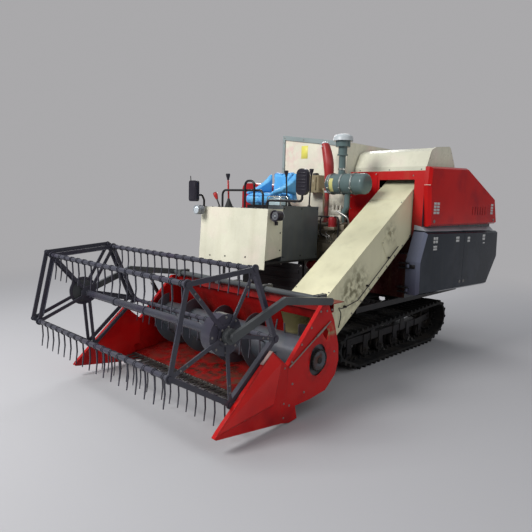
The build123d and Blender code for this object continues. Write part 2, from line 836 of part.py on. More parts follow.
stack_x = 156.0
stack_turns = (
    # radius, from height, to height
    (36.0, cleaner_z, 2140.0),
    (54.0, 2136.0, 2152.0),
    (46.0, 2152.0, 2230.0),
    (76.0, 2226.0, 2290.0),
    (100.0, 2286.0, 2350.0),
)
with BuildPart() as intake_stack:
    for radius, low, high in stack_turns:
        round_bar((stack_x, cleaner_y, low), (stack_x, cleaner_y, high), radius)
    fillet(intake_stack.faces().sort_by(Axis.Z)[-1].edges(), radius=44)
    cross_bar(cleaner_radius + seat_gap, cleaner_x, cleaner_y, cleaner_z, Mode.SUBTRACT)
save(intake_stack, "intake_stack")

# Exhaust: a pipe up from the rocker cover and a red silencer that swells and leans
exhaust_x = -70.0
exhaust_y = 300.0
silencer_sections = (
    # height, sideways lean, radius
    (1760.0, 0.0, 28.0),
    (2040.0, 8.0, 56.0),
    (2180.0, -20.0, 54.0),
    (2290.0, -56.0, 42.0),
)
with BuildPart() as exhaust:
    pipe_foot = (exhaust_x, exhaust_y, rocker_top + seat_gap)
    round_bar(pipe_foot, (exhaust_x, exhaust_y, silencer_sections[0][0] + 2), 24)
    round_bar(pipe_foot, (exhaust_x, exhaust_y, rocker_top + 14), 40)
    for height, silencer_lean, radius in silencer_sections:
        with BuildSketch(Plane.XY.offset(height)):
            with Locations((exhaust_x + silencer_lean, exhaust_y)):
                Circle(radius)
    loft()
    fillet(exhaust.faces().sort_by(Axis.Z)[-1].edges(), radius=24)
save(exhaust, "exhaust")

# Radiator housing: a rounded hood at the operator's right, with a slatted screen on its outer side
floor_plate = 20.0
hood_x = (-935.0, -668.0)
hood_y = (-160.0, 240.0)
hood_top = 1840.0
hood_bend = 70.0
hood_inner_top = 1760.0
screen_border = 48.0
screen_bar_ys = (-14.0, 86.0)
screen_bar_width = 10.0
radiator_low = 1130.0
slat_pitch = 30.0
slat_count = 18
with BuildPart() as radiator_housing:
    block(hood_x, hood_y, (floor_z + floor_plate, hood_top))
    fillet(radiator_housing.edges().filter_by(Axis.Y).group_by(Axis.Z)[-1], radius=hood_bend)
    block(
        (hood_x[0] + sheet, hood_x[1] - sheet),
        (hood_y[0] + sheet, hood_y[1] - sheet),
        (floor_z + floor_plate - 1, hood_inner_top),
        Mode.SUBTRACT,
    )
    screen_y = (hood_y[0] + screen_border, hood_y[1] - screen_border)
    screen_z = (radiator_low, radiator_low + slat_count * slat_pitch)
    block((hood_x[0] - 1, hood_x[0] + sheet + 1), screen_y, screen_z, Mode.SUBTRACT)
    slat_x = (hood_x[0], hood_x[0] + sheet)
    for place in range(slat_count):
        slat_low = radiator_low + (place + 0.25) * slat_pitch
        block(slat_x, (screen_y[0] - 1, screen_y[1] + 1), (slat_low, slat_low + slat_pitch / 2))
    for y in screen_bar_ys:
        block(slat_x, (y, y + screen_bar_width), (screen_z[0] - 1, screen_z[1] + 1))
save(radiator_housing, "radiator_housing")

# Front guard: a ribbed plate between the floor and the frame's front cross member
guard_x = (-620.0, 216.0)
guard_rib = 12.0
guard_rib_height = 34.0
guard_rib_pitch = 96.0
guard_border_x = 40.0
guard_border_z = 90.0
with BuildPart() as front_guard:
    block(guard_x, (rail_front - sheet, rail_front), (cross_low, floor_z))
    rib_x = (guard_x[0] + guard_border_x, guard_x[1] - guard_border_x)
    for place in range(4):
        rib_low = cross_low + guard_border_z + place * guard_rib_pitch
        block(rib_x, (rail_front - guard_rib, rail_front), (rib_low, rib_low + guard_rib_height))
save(front_guard, "front_guard")

# Hydraulic tank: a box beside the left rail, seated on the first cross member
hydraulic_x = (rail_x + rail_width / 2, 396.0)
hydraulic_y = (-340.0, cross_ys[0] - cross_half)
hydraulic_top = 900.0
hydraulic_cap_at = (330.0, -220.0)
hydraulic_cap_radius = 34.0
cap_height = 28.0
with BuildPart() as hydraulic_tank:
    block(hydraulic_x, hydraulic_y, (cross_low, hydraulic_top))
    fillet(hydraulic_tank.edges().filter_by(Axis.Z).group_by(Axis.X)[-1], radius=22)
    with Locations((*hydraulic_cap_at, hydraulic_top + cap_height / 2)):
        Cylinder(hydraulic_cap_radius, cap_height)
save(hydraulic_tank, "hydraulic_tank")

# Operator's station: floor, front panel with its side return, console box, seat
floor_rear = 60.0
panel_lean = 35.0
panel_return = 210.0
shelf_depth = 130.0


def panel_y(z):
    """Where the front panel's outer side lies at a height."""
    return station_front - panel_lean * (panel_top - z) / (panel_top - panel_bottom)


step_heights = (400.0, 720.0)
step_x = (station_right - 10, station_right + 180)
step_y = (-420.0, -180.0)
hanger_width = 40.0
hanger_thick = 8.0
with BuildPart() as operator_floor:
    floor_front = panel_y(floor_z + floor_plate) + sheet + 1
    block((station_right, station_left), (floor_front, floor_rear), (floor_z, floor_z + floor_plate))
    for height in step_heights:
        block(step_x, step_y, (height, height + sheet))
    for y in (step_y[0], step_y[1] - hanger_thick):
        hanger_x = (step_x[0], step_x[0] + hanger_width)
        block(hanger_x, (y, y + hanger_thick), (step_heights[0], floor_z))
save(operator_floor, "operator_floor")

with BuildPart() as front_panel:
    side_outline(
        [
            (station_front, panel_top),
            (panel_y(panel_bottom), panel_bottom),
            (panel_y(panel_bottom) + sheet, panel_bottom),
            (station_front + sheet, panel_top - sheet),
            (station_front + shelf_depth, panel_top - sheet),
            (station_front + shelf_depth, panel_top),
        ],
        station_right,
        station_left + sheet,
    )
    side_outline(
        [
            (panel_y(1075), 1075),
            (station_front, panel_top),
            (station_front + panel_return, panel_top),
            (station_front + panel_return, 1110),
        ],
        station_left,
        station_left + sheet,
    )
save(front_panel, "front_panel")

console_x = (-180.0, station_left)
console_y = (-530.0, 40.0)
console_top = 1600.0
with BuildPart() as side_console:
    block(console_x, console_y, (floor_z + floor_plate, console_top))
    fillet(side_console.edges().filter_by(Axis.Z), radius=12)
    inside_x = (console_x[0] + sheet, console_x[1] - sheet)
    inside_y = (console_y[0] + sheet, console_y[1] - sheet)
    block(inside_x, inside_y, (floor_z + floor_plate - 1, console_top - sheet), Mode.SUBTRACT)
save(side_console, "side_console")

seat_x = -380.0
seat_half = 205.0
seat_base_top = 1604.0
with BuildPart() as seat_base:
    block((seat_x - 180, seat_x + 180), (-440, -60), (floor_z + 20, seat_base_top))
    block((seat_x - 176, seat_x + 176), (-436, -64), (floor_z + 19, seat_base_top - sheet), Mode.SUBTRACT)
save(seat_base, "seat_base")

with BuildPart() as seat_cushion:
    block((seat_x - seat_half, seat_x + seat_half), (-500, -110), (seat_base_top, seat_base_top + 120))
    fillet(seat_cushion.edges().filter_by(Axis.Z), radius=60)
    fillet(seat_cushion.faces().sort_by(Axis.Z)[-1].edges(), radius=26)
save(seat_cushion, "seat_cushion")

back_top_half = 150.0
back_profile = [(-106, seat_base_top), (-106, 1700), (-74, 1990), (-4, 1990), (-30, seat_base_top)]
with BuildPart() as seat_back:
    side_outline(back_profile, seat_x - seat_half, seat_x + seat_half)
    for side in (-1, 1):
        with BuildSketch(Plane.XZ) as corner:
            with BuildLine():
                Polyline(
                    (seat_x + side * (seat_half + 1), 1760),
                    (seat_x + side * back_top_half, 2000),
                    (seat_x + side * (seat_half + 1), 2000),
                    close=True,
                )
            make_face()
        extrude(amount=200, both=True, mode=Mode.SUBTRACT)
    fillet(seat_back.faces().sort_by(Axis.Z)[-1].edges(), radius=24)
save(seat_back, "seat_back")

# Levers, handrails, mirrors and lamps
levers = (
    # x, y, foot, top, sideways lean of its top, has a boot
    (-618.0, station_front + 90, panel_top, 1912.0, -22.0, True),
    (-119.0, -300.0, console_top, 1954.0, -26.0, True),
    (-40.0, -40.0, console_top, 1985.0, 16.0, False),
    (-761.0, station_front + 90, panel_top, 1716.0, -84.0, False),
)
pod_x = (-165.0, -12.0)
pod_y = (-525.0, -440.0)
pod_height = 70.0
lever_radius = 8.0
boot_radius = 42.0
boot_height = 78.0
knob_length = 52.0
with BuildPart() as control_levers:
    for x, y, foot, top, tip_lean, booted in levers:
        tip = Vector(x + tip_lean, y, top)
        root = Vector(x, y, foot)
        along = (tip - root).normalized()
        round_bar(tuple(root + along * lever_radius), tuple(tip - along * 10), lever_radius)
        for distance, radius in ((knob_length, 10.0), (0.0, 21.0)):
            with BuildSketch(Plane(origin=tip - along * distance, z_dir=along)):
                Circle(radius)
        loft()
        collar = ((0.0, boot_radius), (boot_height, 13.0)) if booted else ((0.0, 20.0), (12.0, 13.0))
        for height, radius in collar:
            with BuildSketch(Plane.XY.offset(foot + height)):
                with Locations((x + tip_lean * height / (top - foot), y)):
                    Circle(radius)
        loft()
    block(pod_x, pod_y, (console_top, console_top + pod_height))
save(control_levers, "control_levers")

rail_radius = 11.0
rail_y = station_front + 18
handrail_loops = (
    # right post, left post, y, top, bend
    (-660.0, -75.0, station_front + 38, 1745.0, 50.0),
    (-300.0, -172.0, station_front + 14, 1835.0, 48.0),
)
mirror_y = -865.0
mirror_x = -930.0
mirror_z = 1730.0
mirror_width = 128.0
mirror_height = 216.0
mirror_thick = 40.0
left_mirror_x = 430.0
left_mirror_z = 1819.0
left_mirror_width = 124.0
left_mirror_height = 232.0
with BuildPart() as handrails:
    for low_x, high_x, y, top, bend in handrail_loops:
        loop = ((low_x, panel_top), (low_x, top), (high_x, top), (high_x, panel_top))
        bent_bar([(x, y, z) for x, z in loop], rail_radius, bend)
    bent_bar(
        [
            (station_right + 14, rail_y, panel_top),
            (station_right + 14, rail_y, 1640),
            (mirror_x + 20, rail_y - 50, mirror_z - 40),
            (mirror_x + 20, mirror_y + mirror_thick / 2, mirror_z - 40),
        ],
        rail_radius,
        22,
    )
    bent_bar(
        [
            (0, rail_y, panel_top),
            (0, rail_y, 1650),
            (left_mirror_x, rail_y, 1650),
            (left_mirror_x, rail_y, left_mirror_z - left_mirror_height / 2),
        ],
        rail_radius,
        30,
    )
save(handrails, "handrails")

with BuildPart() as mirrors:
    with Locations((mirror_x, mirror_y, mirror_z)):
        Box(mirror_width, mirror_thick, mirror_height)
    fillet(mirrors.edges().filter_by(Axis.Y), radius=26)
    with Locations((left_mirror_x, rail_y, left_mirror_z)):
        Box(left_mirror_width, mirror_thick, left_mirror_height)
    fillet(mirrors.edges().filter_by(Axis.Y).group_by(Axis.X)[-2:], radius=54)
save(mirrors, "mirrors")

lamp_x = -905.0
lamp_z = 1536.0
lamp_radius = 46.0
lamp_depth = 80.0
horn_radius = 46.0
with BuildPart() as work_lamps:
    lamp_face = panel_y(lamp_z) - 1
    with Locations(Location((lamp_x, lamp_face - 30 - lamp_depth / 2, lamp_z), (90, 0, 0))):
        Cylinder(lamp_radius, lamp_depth)
    round_bar((lamp_x, lamp_face - 32, lamp_z), (lamp_x, lamp_face + 0.2, lamp_z), 12)
    with Locations(Location((station_left + sheet + 10 + horn_radius, -660, 1507), (90, 0, 0))):
        Cylinder(horn_radius, lamp_depth)
        with Locations((0, 0, lamp_depth / 2)):
            Cylinder(horn_radius + 6, 8)
    block((station_left + sheet, station_left + sheet + 30), (-670, -650), (1497, 1517))
save(work_lamps, "work_lamps")

# Fuel tank on the right, under the grain tank
fuel_x = (-860.0, -340.0)
fuel_y = (1060.0, 1500.0)
fuel_top = 1080.0
fuel_bend = 40.0
fuel_wall = 4.0
with BuildPart() as fuel_tank:
    block(fuel_x, fuel_y, (cross_high, fuel_top))
    fillet(fuel_tank.edges().filter_by(Axis.Y), radius=fuel_bend)
    block(
        (fuel_x[0] + fuel_bend, fuel_x[1] - fuel_bend),
        (fuel_y[0] + fuel_wall, fuel_y[1] - fuel_wall),
        (cross_high + fuel_bend, fuel_top - fuel_bend),
        Mode.SUBTRACT,
    )
save(fuel_tank, "fuel_tank")

# Feeder's slope: the heights of its upper and lower face, which the header's throat plate meets too
slope = tan(radians(feeder_slope))


def feeder_top(y):
    """Height of the feeder's upper face."""
    return feeder_top_z + slope * (y - feeder_top_y)


def feeder_low(y):
    """Height of the feeder's lower face."""
    return feeder_top(y) - feeder_depth / cos(radians(feeder_slope))


# Header body: trough, side plates, dividers and knife
trough_radius = 266.0
lean = 21.0
floor_turn = 6.0
lip_y = knife_y + 12
back_foot = (auger_y + trough_radius * cos(radians(lean)), auger_z + trough_radius * sin(radians(lean)))
back_rise = trough_top - back_foot[1]
back_top = (back_foot[0] - back_rise * tan(radians(lean)), trough_top)
floor_foot = (
    auger_y + trough_radius * sin(radians(floor_turn)),
    auger_z - trough_radius * cos(radians(floor_turn)),
)
lip_z = floor_foot[1] - (floor_foot[0] - lip_y) * tan(radians(floor_turn))
plate_thick = 6.0
trough_half = header_half - plate_thick


def throat_rear(z):
    """Where the throat plate meets the feeder's upper face at a height."""
    return feeder_top_y + (z - feeder_top_z) / slope - seat_gap


def trough_band(depth):
    """Side view of the trough's sheet: floor, round and leaning back."""
    with BuildSketch(mode=Mode.PRIVATE) as band_face:
        with BuildLine():
            Polyline((lip_y, lip_z), floor_foot)
            CenterArc((auger_y, auger_z), trough_radius, -90 + floor_turn, 90 - floor_turn + lean)
            Polyline(back_foot, back_top)
            offset(amount=depth, side=Side.RIGHT)
        make_face()
    return band_face.sketch


with BuildPart() as header_trough:
    side_extrude(trough_band(sheet), -trough_half, trough_half)
    beam_y = (back_top[0] + 2, back_top[0] + 62)
    beam_z = (trough_top - 60, trough_top + 12)
    block((-trough_half, trough_half), beam_y, beam_z)
    block(
        (-trough_half, trough_half),
        (beam_y[0] + plate_thick, beam_y[1] - plate_thick),
        (beam_z[0] + plate_thick, beam_z[1] - plate_thick),
        Mode.SUBTRACT,
    )
    block((feeder_inner_x + 10, feeder_outer_x - 10), (auger_y, auger_y + 400), (340, 690), Mode.SUBTRACT)
    throat_z = (beam_z[1] - plate_thick, beam_z[1])
    throat_ends = [(throat_rear(throat_z[1]), throat_z[1]), (throat_rear(throat_z[0]), throat_z[0])]
    side_outline(
        [(beam_y[1] - 1, throat_z[0]), (beam_y[1] - 1, throat_z[1]), *throat_ends],
        feeder_inner_x,
        trough_half,
    )
    side_outline(
        [
            (beam_y[1] - 1, beam_z[0]),
            (beam_y[1] - 1, beam_z[1]),
            (throat_rear(beam_z[1]), beam_z[1]),
            (throat_rear(beam_z[1]), beam_z[1] - 30),
        ],
        feeder_outer_x + 20,
        feeder_outer_x + 20 + plate_thick,
    )
save(header_trough, "header_trough")

side_profile = [
    (-1030, 850),
    (-1110, 850),
    (-1497, 451),
    (-1500, 190),
    (lip_y - 2, 190),
    (lip_y - 2, 26),
    (-1462, 3),
    (-1375, 14),
    (-1400, 118),
    (-1220, 124),
    (-1030, 148),
    (-903, 252),
    (-866, 364),
    (-877, 493),
    (-950, 716),
]
drive_window_y = -1145.0
drive_window_z = 423.0
diamond = [(-1092, 622), (-1052, 690), (-1012, 622), (-1034, 555)]
edge_bar_width = 22.0
edge_bar_depth = 30.0
edge_length = hypot(side_profile[2][0] - side_profile[1][0], side_profile[2][1] - side_profile[1][1])
edge_in = (
    edge_bar_width * (side_profile[1][1] - side_profile[2][1]) / edge_length,
    edge_bar_width * (side_profile[2][0] - side_profile[1][0]) / edge_length,
)
edge_bar = [side_profile[1], side_profile[2]]
edge_bar += [(y + edge_in[0], z + edge_in[1]) for y, z in reversed(edge_bar)]
for side, sign in (("left", 1), ("right", -1)):
    inner = sign * trough_half if sign > 0 else -header_half
    with BuildPart() as side_plate:
        side_outline(side_profile, inner, inner + plate_thick)
        if sign > 0:
            with BuildSketch(Plane.YZ.offset(inner)) as window:
                with Locations((drive_window_y, drive_window_z)):
                    SlotOverall(250, 190, rotation=80)
            extrude(window.sketch, amount=plate_thick, mode=Mode.SUBTRACT)
            side_outline(diamond, inner, inner + plate_thick, Mode.SUBTRACT)
            side_outline(edge_bar, inner - edge_bar_depth, inner)
        else:
            side_outline(edge_bar, inner + plate_thick, inner + plate_thick + edge_bar_depth)
            cross_bar(25 + fit, (inner, inner + plate_thick), auger_y, auger_z, Mode.SUBTRACT)
    save(side_plate, f"header_{side}_plate")

divider_profile = [
    (-1664, 590),
    (-1500, 451),
    (-1500, 191),
    (lip_y - 3, 191),
    (lip_y - 3, 25),
    (divider_tip_y, divider_tip_z - 6),
    (divider_tip_y - 12, divider_tip_z + 4),
    (divider_tip_y + 20, divider_tip_z + 40),
]
with BuildPart() as crop_dividers:
    side_outline(divider_profile, header_half - divider_width, header_half)
    mirror(about=Plane.YZ)
save(crop_dividers, "crop_dividers")

finger_pitch = 76.0
finger_count = 25
with BuildPart() as cutter_bar:
    bar_rear = lip_y
    bar_half = header_half - divider_width
    block((-bar_half, bar_half), (bar_rear - 34, bar_rear), (lip_z - 9, lip_z + 3))
    with BuildSketch(Plane.XY.offset(lip_z - 6)) as fingers:
        for place in range(finger_count):
            x = (place - (finger_count - 1) / 2) * finger_pitch
            with Locations((x, bar_rear - 34 - 40)):
                Trapezoid(26, 84, 82, rotation=180)
    extrude(fingers.sketch, amount=6)
save(cutter_bar, "cutter_bar")

# Feeder house: a rectangular tube of sheet from the trough's back wall up into the thresher
def back_wall_y(z, clear):
    """Where the trough's leaning back lies, measured on its outer side."""
    return back_foot[0] - (z - back_foot[1]) * tan(radians(lean)) + clear / cos(radians(lean))


front_reach = -1000.0
feeder_profile = [
    (front_reach, feeder_top(front_reach)),
    (feeder_end_y, feeder_top(feeder_end_y)),
    (feeder_end_y, feeder_low(feeder_end_y)),
    (front_reach, feeder_low(front_reach)),
]
trough_outside = sheet + seat_gap
with BuildPart() as feeder_house:
    side_outline(feeder_profile, feeder_inner_x, feeder_outer_x)
    sheet_rise = sheet / cos(radians(feeder_slope))
    hollow = [
        (front_reach, feeder_top(front_reach) - sheet_rise),
        (feeder_end_y, feeder_top(feeder_end_y) - sheet_rise),
        (feeder_end_y, feeder_low(feeder_end_y) + sheet_rise),
        (front_reach, feeder_low(front_reach) + sheet_rise),
    ]
    side_outline(hollow, feeder_inner_x + sheet, feeder_outer_x - sheet, Mode.SUBTRACT)
    across = (feeder_inner_x - 1, feeder_outer_x + 1)
    cross_bar(trough_radius + trough_outside, across, auger_y, auger_z, Mode.SUBTRACT)
    side_outline(
        [
            (back_wall_y(back_foot[1] - 40, trough_outside), back_foot[1] - 40),
            (back_wall_y(trough_top + 200, trough_outside), trough_top + 200),
            (front_reach - 300, trough_top + 200),
            (front_reach - 300, back_foot[1] - 40),
        ],
        feeder_inner_x - 1,
        feeder_outer_x + 1,
        Mode.SUBTRACT,
    )
    side_outline(
        [(front_reach - 300, 0), (front_reach - 300, 700), (auger_y + 60, 700), (auger_y + 60, 0)],
        feeder_inner_x - 1,
        feeder_outer_x + 1,
        Mode.SUBTRACT,
    )
    stub_low = mouth_span[0] - bearing_thick
    stub_high = mouth_span[1] + bearing_thick
    for span in ((stub_low, feeder_inner_x), (feeder_outer_x, stub_high)):
        cross_bar(hinge_pin_radius, span, hinge_y, hinge_z)
    lift_eye_z = feeder_low(lift_eye_y) - lift_eye_drop
    for low in (lift_x - ear_inner - ear_thick, lift_x + ear_inner):
        side_outline(
            [
                (lift_eye_y - 60, feeder_low(lift_eye_y - 60) + 2),
                (lift_eye_y - 22, lift_eye_z - 20),
                (lift_eye_y + 22, lift_eye_z - 20),
                (lift_eye_y + 60, feeder_low(lift_eye_y + 60) + 2),
            ],
            low,
            low + ear_thick,
        )
    cross_bar(pin_radius, (lift_x - pin_reach, lift_x + pin_reach), lift_eye_y, lift_eye_z)
save(feeder_house, "feeder_house")

# Header lift cylinder: barrel on the chassis, rod on the feeder
def barrel_and_rod(base, eye, x, barrel_radius, rod_radius, eye_width, names):
    """A cylinder in two pieces between two pins, drawn along its own line."""
    length = hypot(eye[0] - base[0], eye[1] - base[1])
    along = ((eye[0] - base[0]) / length, (eye[1] - base[1]) / length)

    def point(distance):
        return (x, base[0] + along[0] * distance, base[1] + along[1] * distance)

    barrel_start = pin_radius + 32
    barrel_end = length * 0.7
    with BuildPart() as barrel:
        round_bar(point(barrel_start), point(barrel_end), barrel_radius)
        cross_bar(pin_radius + 13, (x - eye_width / 2, x + eye_width / 2), *base)
        round_bar(point(2), point(barrel_start + 6), eye_width / 2 - 2)
        round_bar(point(barrel_start + 12), point(barrel_end + 1), rod_radius + fit, Mode.SUBTRACT)
        cross_bar(pin_radius + fit, (x - eye_width, x + eye_width), *base, Mode.SUBTRACT)
    save(barrel, names[0])
    with BuildPart() as rod:
        round_bar(point(barrel_start + 20), point(length - pin_radius - eye_play - 4), rod_radius)
        cross_bar(pin_radius + eye_play + 9, (x - eye_width / 2, x + eye_width / 2), *eye)
        cross_bar(pin_radius + eye_play, (x - eye_width, x + eye_width), *eye, Mode.SUBTRACT)
    save(rod, names[1])


barrel_and_rod(
    (lift_base_y, lift_base_z),
    (lift_eye_y, lift_eye_z),
    lift_x,
    lift_barrel_radius,
    lift_rod_radius,
    lift_eye_width,
    ("lift_barrel", "lift_rod"),
)

# Header auger: drum, flighting that turns towards the feeder mouth, and its drive sprocket
mouth_x = (feeder_inner_x + feeder_outer_x) / 2
drum_half = trough_half - 8
flight_thick = 5.0
finger_reach = 236.0
finger_rows = 5
finger_turn = 76.0
auger_sprocket_radius = 80.0
auger_sprocket_teeth = 17
with BuildPart() as header_auger:
    cross_bar(auger_drum, (-drum_half, drum_half), auger_y, auger_z)
    cross_bar(auger_drum - 5, (-drum_half - 1, drum_half + 1), auger_y, auger_z, Mode.SUBTRACT)
    for low in (-drum_half, drum_half - 5):
        cross_bar(auger_drum - 4, (low, low + 5), auger_y, auger_z)
    cross_bar(25, (-header_half - 3, header_half + 22), auger_y, auger_z)
    with BuildSketch(Plane.YZ.offset(header_half + 8)) as auger_sprocket:
        with Locations((auger_y, auger_z)):
            Circle(auger_sprocket_radius)
            with PolarLocations(auger_sprocket_radius + 4, auger_sprocket_teeth):
                Circle(11, mode=Mode.SUBTRACT)
    extrude(auger_sprocket.sketch, amount=10)
    finger_step = (feeder_outer_x - feeder_inner_x - 90) / (2 * finger_rows)
    for place in range(2 * finger_rows):
        x = mouth_x + (place - finger_rows + 0.5) * finger_step
        turn = radians(place * finger_turn)
        foot = (x, auger_y + (auger_drum - 4) * cos(turn), auger_z + (auger_drum - 4) * sin(turn))
        tip = (x, auger_y + finger_reach * cos(turn), auger_z + finger_reach * sin(turn))
        round_bar(foot, tip, 7)
    mid_radius = (auger_drum + auger_flight) / 2
    flight_depth = auger_flight - auger_drum + 2
    runs = (
        # start, stop, lefthand
        (-drum_half + 10, feeder_inner_x + 20, False),
        (feeder_outer_x - 20, drum_half - 10, True),
    )
    for start, stop, lefthand in runs:
        spine = Helix(
            pitch=auger_pitch,
            height=stop - start,
            radius=mid_radius,
            center=(start, auger_y, auger_z),
            direction=(1, 0, 0),
            lefthand=lefthand,
            mode=Mode.PRIVATE,
        )
        first = spine @ 0
        radial = Vector(0, first.Y - auger_y, first.Z - auger_z)
        with BuildSketch(Plane(origin=first, x_dir=radial, z_dir=spine % 0)) as blade:
            Rectangle(flight_depth, flight_thick)
        sweep(blade.sketch, path=spine, is_frenet=True)
save(header_auger, "header_auger")

# Reel: eccentric spiders keep the tined bats upright
corners = []
for place in range(reel_bats):
    turn = radians(reel_phase + 360 / reel_bats * place)
    corners.append((reel_y - reel_radius * cos(turn), reel_z + reel_radius * sin(turn)))
offset_y = -eccentric_offset * cos(radians(eccentric_angle))
offset_z = eccentric_offset * sin(radians(eccentric_angle))
left_spider_x = reel_half - 6
right_spider_x = -reel_half + 20
crank_x = right_spider_x - 11
eccentric_x = -reel_half - 8
shaft_end = arm_inner_x - 2


def spider(x_low, thick, centre, tips, hub, bore, eye, eye_bore, flange=0.0):
    """A flat spider: hub, spokes, rim bars and an eye at each corner. Its rim bars may be angles."""
    if flange:
        with BuildSketch(Plane.YZ.offset(x_low)) as lips:
            for first, second in zip(tips, tips[1:] + tips[:1]):
                middle = ((first[0] + second[0]) / 2, (first[1] + second[1]) / 2)
                span = hypot(second[0] - first[0], second[1] - first[1])
                angle = degrees(atan2(second[1] - first[1], second[0] - first[0]))
                with Locations(Location((middle[0], middle[1], 0), (0, 0, angle))):
                    with Locations((0, -spider_bar / 2 + sheet / 2)):
                        Rectangle(span - 2 * eye - spider_bar, sheet)
        extrude(lips.sketch, amount=flange)
    with BuildSketch(Plane.YZ.offset(x_low)) as plate:
        for first, second in zip(tips, tips[1:] + tips[:1]):
            for start, end, width in ((first, second, spider_bar), (centre, first, spider_bar - 6)):
                middle = ((start[0] + end[0]) / 2, (start[1] + end[1]) / 2)
                span = hypot(end[0] - start[0], end[1] - start[1])
                angle = degrees(atan2(end[1] - start[1], end[0] - start[0]))
                with Locations(Location((middle[0], middle[1], 0), (0, 0, angle))):
                    Rectangle(span, width)
        with Locations(*tips):
            Circle(eye)
        with Locations(centre):
            Circle(hub)
            Circle(bore, mode=Mode.SUBTRACT)
        with Locations(*tips):
            Circle(eye_bore, mode=Mode.SUBTRACT)
    extrude(plate.sketch, amount=thick)


reel_centre = (reel_y, reel_z)
eccentric_centre = (reel_y + offset_y, reel_z + offset_z)
bat_bore = bat_radius + fit
with BuildPart() as reel_frame:
    for x_low in (left_spider_x, right_spider_x):
        flange = spider_flange if x_low < 0 else -spider_flange
        spider(x_low, spider_thick, reel_centre, corners, 74, 20, bat_radius + 14, bat_bore, flange)
    cross_bar(shaft_radius, (-shaft_end, shaft_end), *reel_centre)
    cross_bar(140, (left_spider_x - 90, left_spider_x), *reel_centre)
    cross_bar(132, (left_spider_x - 91, left_spider_x - 6), *reel_centre, Mode.SUBTRACT)
    cross_bar(shaft_radius, (left_spider_x - 91, left_spider_x), *reel_centre)
save(reel_frame, "reel_frame")

tine_step = (2 * reel_half - 130) / (tine_count - 1)
for place, (y, z) in enumerate(corners):
    with BuildPart() as bat:
        cross_bar(bat_radius, (crank_x, left_spider_x + spider_thick + 6), y, z)
        for row in range(tine_count):
            x = -reel_half + 75 + row * tine_step
            low = z - bat_radius
            side_outline(
                [
                    (y - 5, z - 8),
                    (y + 5, z - 8),
                    (y + 10, low - tine_length * 0.5),
                    (y - 4, low - tine_length),
                    (y - 10, low - tine_length),
                    (y, low - tine_length * 0.5),
                ],
                x - tine_thick / 2,
                x + tine_thick / 2,
            )
        flat_link((y, z), (y + offset_y, z + offset_z), 30, crank_x, crank_x + 7)
        cross_bar(8, (eccentric_x, crank_x + 1), y + offset_y, z + offset_z)
    save(bat, f"reel_bat_{place + 1}")

with BuildPart() as eccentric_spider:
    shifted = [(y + offset_y, z + offset_z) for y, z in corners]
    spider(
        eccentric_x, spider_thick, eccentric_centre, shifted, eccentric_ring + 26, eccentric_ring, 20, 8 + fit
    )
save(eccentric_spider, "eccentric_spider")

# Reel arms: bent bars on a torsion tube, with the hub bearings and the eccentric's guide disc
arm_points = (reel_centre, (arm_bend_y, arm_bend_z), (arm_pivot_y, arm_pivot_z))
boss_radius = 52.0
with BuildPart() as reel_arms:
    for inner in (arm_inner_x, -arm_inner_x - arm_thick):
        for start, end in zip(arm_points, arm_points[1:]):
            flat_link(start, end, arm_depth, inner, inner + arm_thick)
    cross_bar(torsion_radius, (-arm_inner_x, arm_inner_x), arm_pivot_y, arm_pivot_z)
    cross_bar(boss_radius, (left_spider_x + spider_thick + 6, arm_inner_x), *reel_centre)
    cross_bar(boss_radius, (-arm_inner_x, eccentric_x - 14), *reel_centre)
    cross_bar(eccentric_ring - fit, (eccentric_x - 14, eccentric_x + spider_thick + 2), *eccentric_centre)
    cross_bar(shaft_radius + fit, (-shaft_end - 1, shaft_end + 1), *reel_centre, Mode.SUBTRACT)
    reel_ear_inner = reel_lift_eye_width / 2 + 2
    for low in (reel_lift_x - reel_ear_inner - 7, reel_lift_x + reel_ear_inner):
        side_outline(
            [
                (reel_lift_eye_y - 40, reel_lift_eye_z + 46),
                (reel_lift_eye_y - 16, reel_lift_eye_z - 16),
                (reel_lift_eye_y + 16, reel_lift_eye_z - 16),
                (reel_lift_eye_y + 40, reel_lift_eye_z + 46),
            ],
            low,
            low + 7,
        )
    reel_pin_reach = reel_ear_inner + 7
    reel_pin_span = (reel_lift_x - reel_pin_reach, reel_lift_x + reel_pin_reach)
    cross_bar(pin_radius, reel_pin_span, reel_lift_eye_y, reel_lift_eye_z)
save(reel_arms, "reel_arms")

barrel_and_rod(
    (reel_lift_base_y, reel_lift_base_z),
    (reel_lift_eye_y, reel_lift_eye_z),
    reel_lift_x,
    reel_lift_barrel_radius,
    reel_lift_rod_radius,
    reel_lift_eye_width,
    ("reel_lift_barrel", "reel_lift_rod"),
)

# Bearing blocks that carry the torsion tube, and the reel cylinder's pin
with BuildPart() as reel_bearings:
    for x in (-900.0, -300.0, 300.0, 900.0):
        block((x - 22, x + 22), (arm_pivot_y - 34, back_top[0] + 62), (trough_top + 12, arm_pivot_z + 34))
    cross_bar(torsion_radius + fit, (-960, 960), arm_pivot_y, arm_pivot_z, Mode.SUBTRACT)
save(reel_bearings, "reel_bearings")

with BuildPart() as reel_lift_pin:
    cross_bar(pin_radius, (reel_lift_x - 12, -header_half), reel_lift_base_y, reel_lift_base_z)
save(reel_lift_pin, "reel_lift_pin")

# Divider stays: a round rod with a turnbuckle on each side
with BuildPart() as divider_stays:
    for sign in (-1, 1):
        x = sign * (header_half + 9)
        round_bar((x, -1006, 713), (x, -1488, 439), 5)
        round_bar((x, -1070, 676.6), (x, -1179, 614.6), 9)
save(divider_stays, "divider_stays")
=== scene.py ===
"""The looks of a compact crawler combine harvester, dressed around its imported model.

Metres. Forward is -Y, the machine's left side is +X, and the ground is Z = 0.
"""

from itertools import product
from math import cos, pi, radians, sin

import bmesh
import bpy
from mathutils import Matrix, Vector
from mathutils.geometry import convex_hull_2d


